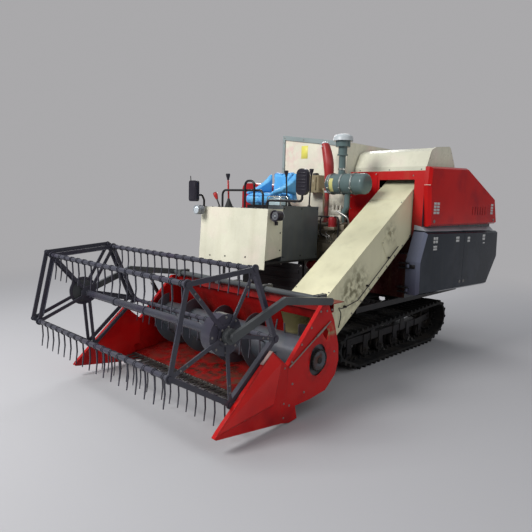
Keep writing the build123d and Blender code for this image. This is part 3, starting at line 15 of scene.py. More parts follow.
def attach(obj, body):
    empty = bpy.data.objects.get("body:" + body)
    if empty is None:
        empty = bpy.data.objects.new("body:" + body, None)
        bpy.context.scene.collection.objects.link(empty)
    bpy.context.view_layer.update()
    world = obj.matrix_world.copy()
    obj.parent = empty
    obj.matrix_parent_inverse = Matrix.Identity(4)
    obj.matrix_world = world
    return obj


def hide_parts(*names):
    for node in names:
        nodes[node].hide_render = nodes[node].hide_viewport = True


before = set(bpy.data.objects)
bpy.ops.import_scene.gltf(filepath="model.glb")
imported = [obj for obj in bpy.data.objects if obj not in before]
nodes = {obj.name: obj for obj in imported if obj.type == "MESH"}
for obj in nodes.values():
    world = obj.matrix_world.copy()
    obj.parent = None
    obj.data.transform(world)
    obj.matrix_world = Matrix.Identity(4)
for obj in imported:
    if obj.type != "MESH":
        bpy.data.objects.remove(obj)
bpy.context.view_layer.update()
scene = bpy.context.scene
LEFT, RIGHT, FRONT, REAR, UP = (1, 0, 0), (-1, 0, 0), (0, -1, 0), (0, 1, 0), (0, 0, 1)


# The view: a camera low in front of the machine's left corner, turned a little about
# its own axis, as the photograph was taken. The picture is square.
camera_turn, camera_fall, camera_roll = radians(44.186), radians(7.712), radians(1.571)
camera_data = bpy.data.cameras.new("camera")
camera_data.sensor_width = 36
camera_data.lens = 33.99
camera_data.shift_x = 0.0094
camera_data.shift_y = 0.0075
camera = bpy.data.objects.new("camera", camera_data)
camera.matrix_world = (
    Matrix.Translation((3.317, -4.191, 1.634)) @ Matrix.Rotation(camera_turn, 4, "Z")
    @ Matrix.Rotation(pi / 2 - camera_fall, 4, "X") @ Matrix.Rotation(camera_roll, 4, "Z")
)
scene.collection.objects.link(camera)
scene.camera = camera
scene.view_settings.view_transform = "Standard"


# The studio: a pale floor that fades into a plain grey room, one broad lamp in front
# of the machine, a weak one at its left side and one behind it.
def add_node(tree, kind, inputs=None, **options):
    """Adds one shader node and gives its outputs. Its inputs are plain values or other nodes' outputs."""
    node = tree.nodes.new("ShaderNode" + kind)
    for name, value in options.items():
        setattr(node, name, value)
    for name, value in (inputs or {}).items():
        socket = node.inputs[name]
        if isinstance(value, bpy.types.NodeSocket):
            tree.links.new(value, socket)
        else:
            socket.default_value = (*value, 1) if socket.type == "RGBA" else value
    return node.outputs


def new_object(name, form):
    """An object in the scene, made from a finished form."""
    mesh = bpy.data.meshes.new(name)
    form.to_mesh(mesh)
    form.free()
    made = bpy.data.objects.new(name, mesh)
    scene.collection.objects.link(made)
    return made


room_grey = (0.4, 0.395, 0.405)
floor_grey = (0.42, 0.415, 0.425)
sky_colour = (0.92, 0.95, 1)
horizon_strength, sky_strength = 0.12, 0.62
fade_start, fade_end = 3.5, 9
world = bpy.data.worlds.new("room")
world.use_nodes = True
scene.world = world
sky = world.node_tree
sky.nodes.clear()
above = add_node(sky, "SeparateXYZ", {"Vector": add_node(sky, "TexCoord")["Generated"]})["Z"]
grading = {"Value": above, "From Max": 0.8, "To Min": horizon_strength, "To Max": sky_strength}
brightness = add_node(sky, "MapRange", grading)["Result"]
soft_light = add_node(sky, "Background", {"Color": sky_colour, "Strength": brightness})[0]
plain_room = add_node(sky, "Background", {"Color": room_grey})[0]
seen = add_node(sky, "LightPath")["Is Camera Ray"]
chosen = add_node(sky, "MixShader", {0: seen, 1: soft_light, 2: plain_room})[0]
add_node(sky, "OutputWorld", {"Surface": chosen})

ground = bmesh.new()
bmesh.ops.create_circle(ground, cap_ends=True, segments=64, radius=60)
floor = new_object("floor", ground)
floor_paint = bpy.data.materials.new("floor_paint")
floor_paint.use_nodes = True
tree = floor_paint.node_tree
tree.nodes.clear()
reach = add_node(tree, "VectorMath", {0: add_node(tree, "TexCoord")["Object"]}, operation="LENGTH")["Value"]
fading = {"Value": reach, "From Min": fade_start, "From Max": fade_end}
fade = add_node(tree, "MapRange", fading, interpolation_type="SMOOTHSTEP")["Result"]
near_floor = add_node(tree, "BsdfDiffuse", {"Color": floor_grey})[0]
far_floor = add_node(tree, "Emission", {"Color": room_grey})[0]
faded = add_node(tree, "MixShader", {0: fade, 1: near_floor, 2: far_floor})[0]
add_node(tree, "OutputMaterial", {"Surface": faded})
floor.data.materials.append(floor_paint)

lamps = (
    # name, place, aim, power, size
    ("key_lamp", (-1.5, -6.5, 5.5), (0, -0.3, 0.9), 560, 3),
    ("side_lamp", (6.5, 0.5, 3.2), (0, 0.5, 1), 42, 3.5),
    ("rear_lamp", (-4.5, 5.5, 4.5), (0, 0.5, 1), 230, 3),
)
for name, place, aim, power, size in lamps:
    lamp_data = bpy.data.lights.new(name, "AREA")
    lamp_data.energy = power
    lamp_data.size = size
    lamp = bpy.data.objects.new(name, lamp_data)
    lamp.location = place
    lamp.rotation_euler = (Vector(aim) - Vector(place)).to_track_quat("-Z", "Y").to_euler()
    scene.collection.objects.link(lamp)


# Chassis: rails, cross members and legs of square steel tube, welded and sprayed black.
# Hexagon bolts hold the front guard, the rail ends are capped, and a loose pin sits in the
# tow eye.
def weathered(name, colour, under, rough, metal=0, wear=0.3, dust=0.3, grain=0.05, grain_scale=180,
              tint=None, streaks=0, smears_and_painted_light=(), tread=0, ahead=None, gloss=0.3):
    """A used finish: uneven colour, edges rubbed to what is under it, streaks, smears and dust.

    A smear is its centre, size, colour and strength; some are dirt, some painted shade and one a painted
    reflection. Ahead paints the faces that look forward and lie in front of a wall: the wall's y, its
    colour, the colour low down, and the height of that. The colour low down is painted shade, and on
    some finishes the front colour is a painted highlight.
    """
    material = bpy.data.materials.new(name)
    material.use_nodes = True
    tree = material.node_tree
    surface = tree.nodes["Principled BSDF"].inputs
    spot = add_node(tree, "TexCoord")["Object"]
    normal = add_node(tree, "NewGeometry")["Normal"]
    place = add_node(tree, "SeparateXYZ", {"Vector": spot})
    facing = add_node(tree, "SeparateXYZ", {"Vector": normal})

    def noise(scale, detail, vector=spot, roughness=0.5):
        inputs = {"Vector": vector, "Scale": scale, "Detail": detail, "Roughness": roughness}
        return add_node(tree, "TexNoise", inputs)["Fac"]

    def spread(value, low, high, least=0, most=1):
        limits = {"Value": value, "From Min": low, "From Max": high, "To Min": least, "To Max": most}
        return add_node(tree, "MapRange", limits)["Result"]

    def times(first, second):
        return add_node(tree, "Math", {0: first, 1: second}, operation="MULTIPLY")[0]

    def mixed(share, first, second, kind="MIX"):
        return add_node(tree, "Mix", {0: share, 6: first, 7: second}, data_type="RGBA", blend_type=kind)[2]

    def raised(height, strength, distance, base):
        inputs = {"Height": height, "Strength": strength, "Distance": distance, "Normal": base}
        return add_node(tree, "Bump", inputs)[0]

    broad = noise(2.3, 5)
    painted = mixed(1, colour, spread(broad, 0.3, 0.7, 0.86, 1.08), "MULTIPLY")
    if tint:
        painted = mixed(spread(noise(3.7, 2), 0.5, 0.72), painted, tint)
    # Painted shade: faces ahead of the wall darken below a height; on some finishes their front colour is a
    # painted highlight.
    if ahead:
        wall_y, wall_colour, painted_shade_colour, shade_top_z = ahead
        share = times(spread(place["Y"], wall_y + 0.001, wall_y), spread(facing["Y"], -0.15, -0.35))
        rise = spread(place["Z"], shade_top_z, shade_top_z + 0.25)
        painted = mixed(share, painted, mixed(rise, painted_shade_colour, wall_colour))

    rounded = add_node(tree, "Bevel", {"Radius": 0.004}, samples=4)[0]
    edge = add_node(tree, "VectorMath", {0: rounded, 1: normal}, operation="DOT_PRODUCT")["Value"]
    rubbed = times(spread(edge, 0.98, 0.8, 0, wear), spread(noise(34, 6), 0.45, 0.62))
    worn = mixed(rubbed, painted, under)
    if streaks:
        drawn = add_node(tree, "Mapping", {"Vector": spot, "Scale": (11, 11, 0.9)})[0]
        worn = mixed(spread(noise(1, 4, drawn), 0.52, 0.75, 0, streaks), worn, (0.24, 0.22, 0.11))
    # Smear patches: dirt on some finishes, painted shade and a painted reflection on others.
    for centre, size, patch_colour, strength in smears_and_painted_light:
        away = add_node(tree, "VectorMath", {0: spot, 1: centre}, operation="DISTANCE")["Value"]
        share = times(spread(away, size, 0.25 * size, 0, strength), spread(noise(16, 7), 0.42, 0.6))
        worn = mixed(share, worn, patch_colour)

    settled = times(spread(place["Z"], 1.2, 0.05, 0.15), spread(facing["Z"], 0.5, 1, 0.45, 0.8))
    dusty = times(settled, spread(noise(7, 8, spot, 0.65), 0.42, 0.68, 0, dust))
    tree.links.new(mixed(dusty, worn, (0.26, 0.21, 0.15)), surface["Base Color"])
    tree.links.new(spread(dusty, 0, 1, rough, 0.95), surface["Roughness"])
    surface["Metallic"].default_value = metal
    surface["Specular IOR Level"].default_value = gloss

    relief = raised(noise(grain_scale, 3), grain, 0.004, raised(broad, 0.1, 0.02, rounded))
    if tread:
        slanted = {"Vector": spot, "Rotation": (0, 0, pi / 4), "Scale": (26, 62, 26)}
        cells = add_node(tree, "Mapping", slanted)[0]
        studs = add_node(tree, "TexVoronoi", {"Vector": cells, "Randomness": 0}, feature="DISTANCE_TO_EDGE")
        relief = raised(spread(studs["Distance"], 0.18, 0.3), tread, 0.002, relief)
    tree.links.new(relief, surface["Normal"])
    return material


def finish_nodes(finish, *names):
    """Gives CAD nodes their finish."""
    for name in names:
        materials = nodes[name].data.materials
        for place in range(len(materials)):
            materials[place] = finish


# The shape of the piece that is being made. Each helper adds to it, and piece() closes it.
shape = bmesh.new()


def piece(name, finish, body="chassis", smooth=35):
    """Closes the shape into a piece that rides on a body."""
    global shape
    bmesh.ops.remove_doubles(shape, verts=shape.verts[:], dist=1e-6)
    bmesh.ops.recalc_face_normals(shape, faces=shape.faces[:])
    made = new_object(name, shape)
    shape = bmesh.new()
    made.data.materials.append(finish)
    made.data.shade_smooth()
    made.data.set_sharp_from_angle(angle=radians(smooth))
    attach(made, body)


def standing(place, direction):
    """Where a shape made along Z goes, so that it stands at a place along a direction."""
    return Matrix.Translation(place) @ Vector(direction).to_track_quat("Z", "Y").to_matrix().to_4x4()


def cube(form, low, high, pose=Matrix()):
    """A plain cube between two corners. It gives its edges."""
    fitted = pose @ Matrix.Translation((low + high) / 2) @ Matrix.Diagonal((*(high - low), 1))
    made = bmesh.ops.create_cube(form, size=1, matrix=fitted)
    return list(dict.fromkeys(rim for corner in made["verts"] for rim in corner.link_edges))


def block(low, high, edge=0.0015, pose=Matrix(), segments=2, along=None):
    """A block between two corners. All its edges are rounded, or only those along one axis."""
    rims = cube(shape, Vector(low), Vector(high), pose)
    if along is not None:
        rims = [rim for rim in rims if abs(rim.verts[0].co[along] - rim.verts[1].co[along]) > 0.01]
    bmesh.ops.bevel(
        shape, geom=rims, offset=edge, segments=segments, profile=0.5, affect="EDGES", material=-1
    )


def cone(sides, foot, top, low, high, pose):
    """A closed cone or drum between two heights of its pose."""
    middle = Matrix.Translation((0, 0, (low + high) / 2))
    bmesh.ops.create_cone(
        shape, cap_ends=True, segments=sides, radius1=foot, radius2=top, depth=high - low,
        matrix=pose @ middle
    )


def turned(outline, place, direction=UP, steps=24, hollow=False):
    """A turned shape: its outline, as (radius, height) pairs, spun once round.

    A hollow one closes on itself. Another closes flat at the axis, unless it starts there.
    """
    if hollow:
        outline = [*outline, outline[0]]
    elif outline[0][0] > 0:
        outline = [(0, outline[0][1]), *outline, (0, outline[-1][1])]
    pose = standing(place, direction)
    corners = [shape.verts.new(pose @ Vector((radius, 0, height))) for radius, height in outline]
    line = [shape.edges.new(pair) for pair in zip(corners, corners[1:])]
    axis = pose.to_3x3() @ Vector(UP)
    bmesh.ops.spin(
        shape, geom=corners + line, cent=pose.translation, axis=axis, angle=2 * pi, steps=steps,
        use_merge=True
    )


def bolts(places, direction, radius=0.007, pose=Matrix()):
    """Hexagon heads on their washers, at places that may be given within a pose."""
    for place in places:
        seat = standing(pose @ Vector(place), direction)
        cone(14, 1.6 * radius, 1.504 * radius, 0, 0.3 * radius, seat)
        cone(6, radius, 0.94 * radius, 0.3 * radius, 1.1 * radius, seat)


bare_under = (0.16, 0.14, 0.13)
black_paint = weathered("black_paint", (0.012, 0.011, 0.013), bare_under, 0.4, wear=0.35, dust=0.16)
finish_nodes(black_paint, "chassis_frame", "front_guard")
bolt_steel = weathered(
    "bolt_steel", (0.3, 0.29, 0.28), (0.2, 0.12, 0.08), 0.42, metal=0.85, wear=0.4, dust=0.4
)
bolts(product((-0.6, -0.33, -0.06, 0.195), (-0.424,), (0.62, 1.02)), FRONT)
bolts(product((-0.6, 0.6), (-0.06, 0.43, 1, 1.56, 2.18), (0.63,)), UP, 0.01)
turned([(0.012, -0.055), (0.012, 0.036), (0.022, 0.036), (0.022, 0.046)], (0, 2.276, 0.6))
piece("frame_bolts", bolt_steel)
for x in (-0.2, 0.2):
    block((x - 0.042, 2.25, 0.562), (x + 0.042, 2.256, 0.638), 0.002)
for x in (-0.6, 0.6):
    block((x - 0.022, 2.25, 0.572), (x + 0.022, 2.255, 0.628), 0.002)
for y, x in product((0, 0.49, 1.06), (-0.16, 0.16)):
    block((x - 0.004, y - 0.02, 0.562), (x + 0.004, y + 0.05, 0.6), 0.001)
piece("frame_caps_and_gussets", black_paint)


# Running gear: box beams with rollers between their brackets, a toothed sprocket at the
# front and a spoked idler behind, all cast or pressed steel, brown from mud and oil.
# Nuts close each axle, and a cap with six bolts each sprocket.
def circle(x, y, z, radius, count, start=0):
    """Evenly spaced places on a circle about an axis that runs across the machine."""
    turns = [start + 2 * pi * number / count for number in range(count)]
    return [Vector((x, y + radius * cos(turn), z + radius * sin(turn))) for turn in turns]


def band(inner, outer, low, high, place, direction, steps=24):
    """A plain ring between two radii and two heights."""
    turned([(inner, low), (outer, low), (outer, high), (inner, high)], place, direction, steps, hollow=True)


cast_iron = weathered(
    "cast_iron", (0.018, 0.016, 0.016), (0.11, 0.1, 0.09), 0.6, metal=0.3, wear=0.45, grain=0.45,
    grain_scale=140
)
finish_nodes(black_paint, "track_frames")
finish_nodes(cast_iron, "drive_sprockets", "idlers", "ground_rollers", "carrier_rollers", "transmission")
track_x = 0.465
sprocket = (-0.23, 0.253)
axles = [(-0.01 + 0.302 * place, 0.1243) for place in range(6)]
axles += [(0.43, 0.345), (1.05, 0.374), (1.685, 0.284)]
for sign in (-1, 1):
    outward = (sign, 0, 0)
    bolts([(sign * 0.528, y, z) for y, z in axles], outward, 0.013)
    turned([(0.026, 0.012), (0.032, 0.008), (0.052, 0.006), (0.052, 0)], (sign * 0.5245, *sprocket), outward)
    bolts(circle(sign * 0.5295, *sprocket, 0.043, 6), outward, 0.005)
    band(0.01, 0.013, -0.1, 0.1, (sign * track_x, 1.53, 0.3), REAR, 12)
piece("axle_nuts", cast_iron)


# Track belts: moulded black rubber, ribbed outside, with two rows of steel-cored guide
# horns inside that keep the rollers between them.
track_rubber = weathered(
    "track_rubber", (0.008, 0.008, 0.009), (0.035, 0.034, 0.032), 0.72, dust=0.18, grain=0.35, grain_scale=90
)
finish_nodes(track_rubber, "left_track_belt", "right_track_belt")
horn_pitch, horn_height, horn_row = 0.09, 0.033, 0.076
wheels = ((*sprocket, 0.1043), (1.685, 0.284, 0.1653), (-0.01, 0.1243, 0.0743), (1.5, 0.1243, 0.0743))
rims = [place.yz for y, z, radius in wheels for place in circle(0, y, z, radius, 64)]
run = [rims[place] for place in convex_hull_2d(rims)]
lengths = [(after - before).length for before, after in zip(run, run[1:] + run[:1])]
horn_count = round(sum(lengths) / horn_pitch)
for number in range(horn_count):
    along = sum(lengths) * number / horn_count
    corner = 0
    while along > lengths[corner]:
        along -= lengths[corner]
        corner += 1
    on = (run[(corner + 1) % len(run)] - run[corner]).normalized()
    foot = run[corner] + on * along
    for sign, row in product((-1, 1), (-horn_row, horn_row)):
        pose = standing((sign * track_x + row, *foot), (0, -on.y, on.x)) @ Matrix.Rotation(pi / 4, 4, "Z")
        cone(4, 0.0175, 0.009, 0, horn_height, pose)
piece("track_guide_horns", track_rubber, smooth=20)


# Thresher body: a folded sheet housing in slate paint with a red pressed plate across its
# upper front. Bolted hatches give access at its right side and rear, and round red
# reflectors sit on the tail.
def tilted(place, along):
    """Where a shape made on XY goes, so that its X stays across and its Y runs along a slope."""
    across, along = Vector(LEFT), Vector(along).normalized()
    return Matrix.Translation(place) @ Matrix((across, along, across.cross(along))).transposed().to_4x4()


# The body's front wall is painted red, fading to near black below about 1.3 m: painted shade.
slate_paint = weathered(
    "slate_paint", (0.034, 0.042, 0.054), bare_under, 0.26, wear=0.25, dust=0.22, streaks=0.1,
    ahead=(0.576, (0.46, 0.01, 0.01), (0.035, 0.006, 0.007), 1.32),
)
red_paint = weathered(
    "red_paint", (0.5, 0.008, 0.008), (0.2, 0.1, 0.08), 0.24, dust=0.16, tint=(0.34, 0.005, 0.01), gloss=0.16
)
finish_nodes(slate_paint, "thresher_body")
finish_nodes(red_paint, "front_wall_panel")
finish_nodes(cast_iron, "side_drives")
hatch = tilted((0.483, 2.335, 1.5775), (0, 0.11, -0.275))
hatch_out = hatch.to_3x3() @ Vector(UP)
block((-0.3, -0.115, 0.0005), (0.3, 0.115, 0.007), 0.003, hatch)
block((-0.26, -0.08, 0.007), (0.26, 0.08, 0.011), 0.0019, hatch)
block((0.036, 1.05, 0.82), (0.0398, 1.5, 1.2))
for z in (0.9, 1.12):
    block((0.03, 1.1, z - 0.01), (0.037, 1.45, z + 0.01), 0.003)
block((0.1, 2.485, 1.1), (0.87, 2.4955, 1.116), 0.002)
piece("body_hatches", slate_paint)
bolts(product((-0.285, 0, 0.285), (-0.1, 0.1), (0.007,)), hatch_out, 0.005, hatch)
bolts(product((0.036,), (1.07, 1.275, 1.48), (0.84, 1.18)), RIGHT, 0.005)
bolts(product((0.065, 0.37), (0.569,), (1.59, 1.72, 1.96)), FRONT, 0.005)
bolts([(0.8, 0.5735, z) for z in (1.5, 1.62, 1.94)], FRONT, 0.005)
for x in (-0.17, 0.17):
    turned([(0.014, 0.012), (0.018, 0.006), (0.018, 0)], hatch @ Vector((x, 0.05, 0.012)), hatch_out, 16)
piece("body_bolts", bolt_steel)
reflector_red = weathered(
    "reflector_red", (0.42, 0.006, 0.006), (0.3, 0.02, 0.02), 0.12, wear=0.1, dust=0.25, grain=0.6,
    grain_scale=380
)
for x in (0.14, 0.82):
    turned([(0, 0.009), (0.024, 0.008), (0.03, 0.004), (0.03, 0), (0, 0)], (x, 2.4955, 1.25), REAR)
piece("tail_reflectors", reflector_red)


# Side covers on the left: a fixed red tray above two hinged slate doors, pressed from
# sheet with a shoulder, hung on pins, held by quarter-turn latches. A moulding lies along
# the doors' top, its pale grey a painted highlight, and a pale strip on the tray's knee is
# a painted highlight too. The plates and signs on them are blank vinyl.
finish_nodes(red_paint, "upper_side_cover")
# The doors' forward faces are a lighter blue-grey, a painted highlight, turning darker below about 0.8 m,
# painted shade.
door_paint = weathered(
    "door_paint", (0.018, 0.024, 0.034), (0.2, 0.2, 0.21), 0.16, dust=0.06, streaks=0.03,
    tint=(0.028, 0.034, 0.046), ahead=(0.6, (0.125, 0.135, 0.185), (0.085, 0.085, 0.125), 0.8), gloss=0.08,
)
finish_nodes(door_paint, "front_side_door", "rear_side_door")
finish_nodes(black_paint, "door_hinges")
sign_vinyl = weathered("sign_vinyl", (0.56, 0.56, 0.55), (0.3, 0.3, 0.3), 0.35, grain=0.03)
signs = (
    # body, middle y, middle z, columns, rows, one sign's width, one sign's height
    ("chassis", 0.73, 1.622, 2, 4, 0.06, 0.024),
    ("chassis", 2.228, 1.626, 1, 4, 0.075, 0.026),
    ("front_side_door", 0.761, 1.296, 2, 2, 0.046, 0.028),
    ("front_side_door", 0.761, 1.215, 1, 2, 0.085, 0.02),
    ("front_side_door", 1.3, 1.288, 1, 2, 0.085, 0.026),
    ("rear_side_door", 1.602, 1.278, 1, 2, 0.07, 0.026),
    ("rear_side_door", 2.049, 1.288, 1, 2, 0.08, 0.03),
    ("rear_side_door", 2.06, 1.22, 1, 1, 0.06, 0.016),
)
column_gap, row_gap = 0.008, 0.007
for number, (body, y, z, columns, rows, width, tall) in enumerate(signs):
    for column, row in product(range(columns), range(rows)):
        start = y + (column - columns / 2) * (width + column_gap)
        low = z + (row - rows / 2) * (tall + row_gap)
        block((0.9995, start, low), (1.0006, start + width, low + tall), 0.0003)
    piece(f"blank_signs_{number + 1}", sign_vinyl, body)
latches = (
    # body, y, z
    ("chassis", 0.69, 1.485),
    ("chassis", 2.3, 1.49),
    ("front_side_door", 1.425, 0.8),
    ("rear_side_door", 1.53, 0.8),
)
for number, (body, y, z) in enumerate(latches):
    turned([(0.01, 0.004), (0.017, 0.003), (0.019, 0)], (1, y, z), LEFT, 20)
    block((-0.0035, -0.014, 0.003), (0.0035, 0.014, 0.008), 0.001, standing((1, y, z), LEFT))
    piece(f"quarter_turn_latch_{number + 1}", bolt_steel, body)
block((0.875, 0.4295, 1.012), (0.955, 0.4345, 1.052), 0.002)
for x in (0.884, 0.922):
    block((x, 0.422, 1.02), (x + 0.024, 0.43, 1.044), 0.003)
piece("front_door_latch", black_paint, "front_side_door")
# Pale strip along the tray's front knee: a painted highlight.
knee_highlight_white = weathered("knee_highlight_white", (0.72, 0.5, 0.42), (0.4, 0.2, 0.15), 0.4, wear=0.4, dust=0.2)
block((0.93, 0.559, 1.843), (0.9985, 0.5635, 1.85), 0.001)
piece("cover_knee_highlight", knee_highlight_white)
# Pale grey moulding along the doors' top: a painted highlight.
drip_highlight_grey = weathered("drip_highlight_grey", (0.32, 0.33, 0.36), (0.4, 0.4, 0.4), 0.24, wear=0.4, dust=0.2)
drip_fall = 0.0134
drip = (
    (0.846, 0.06), (0.846, 0.012), (0.966, 0.004), (0.969, 0), (0.9705, 0.004), (0.93, 0.044), (0.86, 0.06)
)
for start, length in ((0.572, 0.905), (1.483, 0.915)):
    pose = Matrix.Translation((0, start, 1.3895)) @ Matrix.Rotation(-drip_fall, 4, "X")
    ring = [shape.verts.new(pose @ Vector((x, 0, z - start * drip_fall * 0.8))) for x, z in drip]
    made = bmesh.ops.extrude_face_region(shape, geom=[shape.faces.new(ring)])
    ends = [corner for corner in made["geom"] if isinstance(corner, bmesh.types.BMVert)]
    bmesh.ops.translate(shape, verts=ends, vec=(0, length, -length * drip_fall))
piece("drip_moulding", drip_highlight_grey)


# Top cover: a rounded cream housing across the thresher's roof, folded from sheet, its
# left end rimmed. Rivets follow the rim and bolts hold its front face.
cream_paint = weathered(
    "cream_paint", (0.7, 0.685, 0.545), (0.3, 0.24, 0.16), 0.27, wear=0.35, tint=(0.72, 0.66, 0.55),
    streaks=0.14
)
finish_nodes(cream_paint, "top_cover")
for y, z in ((0.7, 2.04), (0.725, 2.075), (0.75, 2.125), (1.325, 2.085), (1.285, 2.145), (1.235, 2.215)):
    turned([(0, 0.003), (0.004, 0.002), (0.006, 0), (0, 0)], (0.88, y, z), LEFT, 12)
bolts([(x, 0.6975, 2.012) for x in (0.08, 0.45, 0.82)], FRONT, 0.005)
piece("top_cover_rivets", bolt_steel)


# Grain tank: an open box of folded sheet in cream paint behind the operator, its rim
# rising to the right, with hat-section ribs welded on. Flat grey bars edge its rim and
# corners, and blank yellow vinyl shows on the front.
tank_cream = weathered(
    "tank_cream", (0.76, 0.73, 0.6), (0.3, 0.24, 0.16), 0.27, tint=(0.75, 0.64, 0.56), streaks=0.12,
    # Painted reflection: the pink patch high at the tank's right end. Painted shade: the olive patch on its
    # left half and the dark patches low on its front behind the valve block.
    smears_and_painted_light=(
        ((-0.83, 0.54, 2.25), 0.22, (0.74, 0.5, 0.47), 0.6),
        ((-0.3, 0.54, 2), 0.35, (0.6, 0.66, 0.5), 0.4),
        ((-0.1, 0.54, 1.42), 0.36, (0.07, 0.055, 0.045), 1),
        ((0, 0.54, 1.4), 0.26, (0.03, 0.025, 0.02), 1),
    ),
)
finish_nodes(tank_cream, "grain_tank")
rim_grey = weathered("rim_grey", (0.26, 0.31, 0.31), (0.45, 0.45, 0.42), 0.35, wear=0.5)
finish_nodes(rim_grey, "tank_frame")
for z in (1.58, 1.86, 2.14):
    block((-0.962, 0.62, z - 0.022), (-0.9495, 1.77, z + 0.022), 0.005)
for x in (-0.7, -0.475, -0.25):
    block((x - 0.022, 1.8495, 1.38), (x + 0.022, 1.862, 2.24), 0.005)
block((-0.3, 1.66, 1.325), (-0.08, 1.84, 2.2), 0.004)
turned([(0.075, 0), (0.075, 0.3), (0.068, 0.3), (0.068, 0.02)], (-0.19, 1.67, 2.06), (0, -1, 0.12))
piece("tank_ribs_and_filler", tank_cream)
rim_fall = 0.1368
for y, outward in ((0.526, FRONT), (1.864, REAR)):
    bolts([(-0.932, y, z) for z in (1.7, 2.05, 2.36)], outward, 0.006)
    bolts([(x, y, 2.425 - rim_fall * (x + 0.95)) for x in (-0.92, -0.62, -0.32, -0.03)], outward, 0.006)
piece("tank_frame_bolts", bolt_steel)
yellow_vinyl = weathered(
    "yellow_vinyl", (0.76, 0.7, 0.14), (0.74, 0.7, 0.4), 0.35, wear=0.4, dust=0.2, tint=(0.74, 0.7, 0.36)
)
block((-0.66, 0.5388, 2.16), (-0.56, 0.5402, 2.31), 0.0005)
piece("blank_yellow_sign", yellow_vinyl)


# Engine: a diesel of dull grey castings lying across the machine. Steel pipes rise from
# its pump to the injectors, a red filter can hangs on its front, the flywheel housing
# and rocker cover are bolted on.
def new_line(radius, roundness, steps):
    """An empty curve with a round section."""
    line = bpy.data.curves.new("line", "CURVE")
    line.dimensions = "3D"
    line.bevel_depth, line.bevel_resolution, line.resolution_u = radius, roundness, steps
    return line


def take_tube(line):
    """Adds a curve's tube to the shape."""
    holder = bpy.data.objects.new("tube", line)
    tube = bpy.data.meshes.new_from_object(holder)
    shape.from_mesh(tube)
    bpy.data.objects.remove(holder)
    bpy.data.meshes.remove(tube)
    bpy.data.curves.remove(line)


def pipe(points, radius, bend):
    """A steel pipe, bent at each inner point of its run."""
    points = [Vector(point) for point in points]
    stops = [points[:1] * 3]
    for before, corner, after in zip(points, points[1:], points[2:]):
        back = (before - corner).normalized() * min(bend, 0.45 * (before - corner).length)
        on = (after - corner).normalized() * min(bend, 0.45 * (after - corner).length)
        stops.append((corner + back, corner + back, corner + 0.45 * back))
        stops.append((corner + on, corner + 0.45 * on, corner + on))
    stops.append(points[-1:] * 3)
    line = new_line(radius, 2, 4)
    line.use_fill_caps = True
    spline = line.splines.new("BEZIER")
    spline.bezier_points.add(len(stops) - 1)
    for knot, (place, arriving, leaving) in zip(spline.bezier_points, stops):
        knot.handle_left_type = knot.handle_right_type = "FREE"
        knot.co, knot.handle_left, knot.handle_right = place, arriving, leaving
    take_tube(line)


engine_casting = weathered(
    "engine_casting", (0.17, 0.145, 0.105), (0.42, 0.38, 0.32), 0.5, metal=0.45, wear=0.6, dust=0.9,
    grain=0.55, grain_scale=120,
)
finish_nodes(engine_casting, "engine")
bolts(product((-0.13, 0.04, 0.21), (0.21, 0.305), (1.43,)), UP, 0.008)
bolts(circle(0.342, 0.255, 1.085, 0.168, 10), LEFT)
bolts([(x, 0.15, 1.262) for x in (-0.17, -0.05, 0.07, 0.19)], FRONT, 0.008)
piece("engine_bolts", bolt_steel)
pipe_steel = weathered("pipe_steel", (0.34, 0.33, 0.31), (0.2, 0.13, 0.09), 0.3, metal=0.9, dust=0.5)
for start, x in ((0.09, -0.15), (0.115, -0.04), (0.14, 0.07), (0.165, 0.18)):
    pipe([(start, 0.112, 1.214), (start, 0.112, 1.29), (x, 0.112, 1.33), (x, 0.152, 1.345)], 0.0035, 0.02)
pipe([(-0.18, 0.39, 1.36), (-0.18, 0.425, 1.39), (-0.18, 0.425, 1)], 0.008, 0.02)
pipe([(0.25, 0.118, 0.92), (0.3, 0.06, 0.92), (0.3, -0.085, 0.86)], 0.011, 0.04)
pipe([(0.28, 0.19, 1.3), (0.345, 0.16, 1.34), (0.345, 0.12, 1.5), (0.2, 0.125, 1.56)], 0.01, 0.04)
piece("engine_pipes", pipe_steel)
filter_red = weathered("filter_red", (0.26, 0.012, 0.016), (0.3, 0.2, 0.2), 0.3, wear=0.4, dust=0.5)
can = ((0.03, 0.105), (0.041, 0.096), (0.043, 0.09), (0.043, 0.012), (0.046, 0.008), (0.046, 0))
turned(can, (-0.06, 0.116, 0.975), FRONT, 32)
turned(can, (0.145, 0.13, 1.395), UP, 32)
piece("engine_filters", filter_red)
block((0.075, 0.07, 1.36), (0.215, 0.15, 1.396), 0.006)
turned([(0.024, 0.022), (0.028, 0.016), (0.028, 0)], (-0.14, 0.256, 1.429))
block((-0.19, 0.06, 1.1), (-0.02, 0.125, 1.2), 0.018)
starter_end = ((0.048, 0), (0.048, 0.012), (0.04, 0.016), (0.048, 0.02), (0.048, 0.032))
turned(starter_end, (-0.192, 0.092, 1.15), RIGHT)
for x in (-0.16, -0.115, -0.07):
    turned([(0.046, 0), (0.049, 0.004), (0.046, 0.008)], (x, 0.092, 1.15), LEFT, 28, hollow=True)
piece("engine_fittings", engine_casting)
valve_casting = weathered(
    "valve_casting", (0.46, 0.43, 0.36), (0.5, 0.48, 0.42), 0.42, metal=0.2, wear=0.5, dust=0.4, grain=0.4,
    smears_and_painted_light=(((0.1, 0.24, 1.47), 0.1, (0.05, 0.035, 0.02), 0.9),),
)
block((0.015, 0.195, 1.428), (0.215, 0.3, 1.44), 0.002)
block((0.03, 0.205, 1.44), (0.195, 0.285, 1.515), 0.007)
block((0.045, 0.22, 1.515), (0.18, 0.27, 1.57), 0.006)
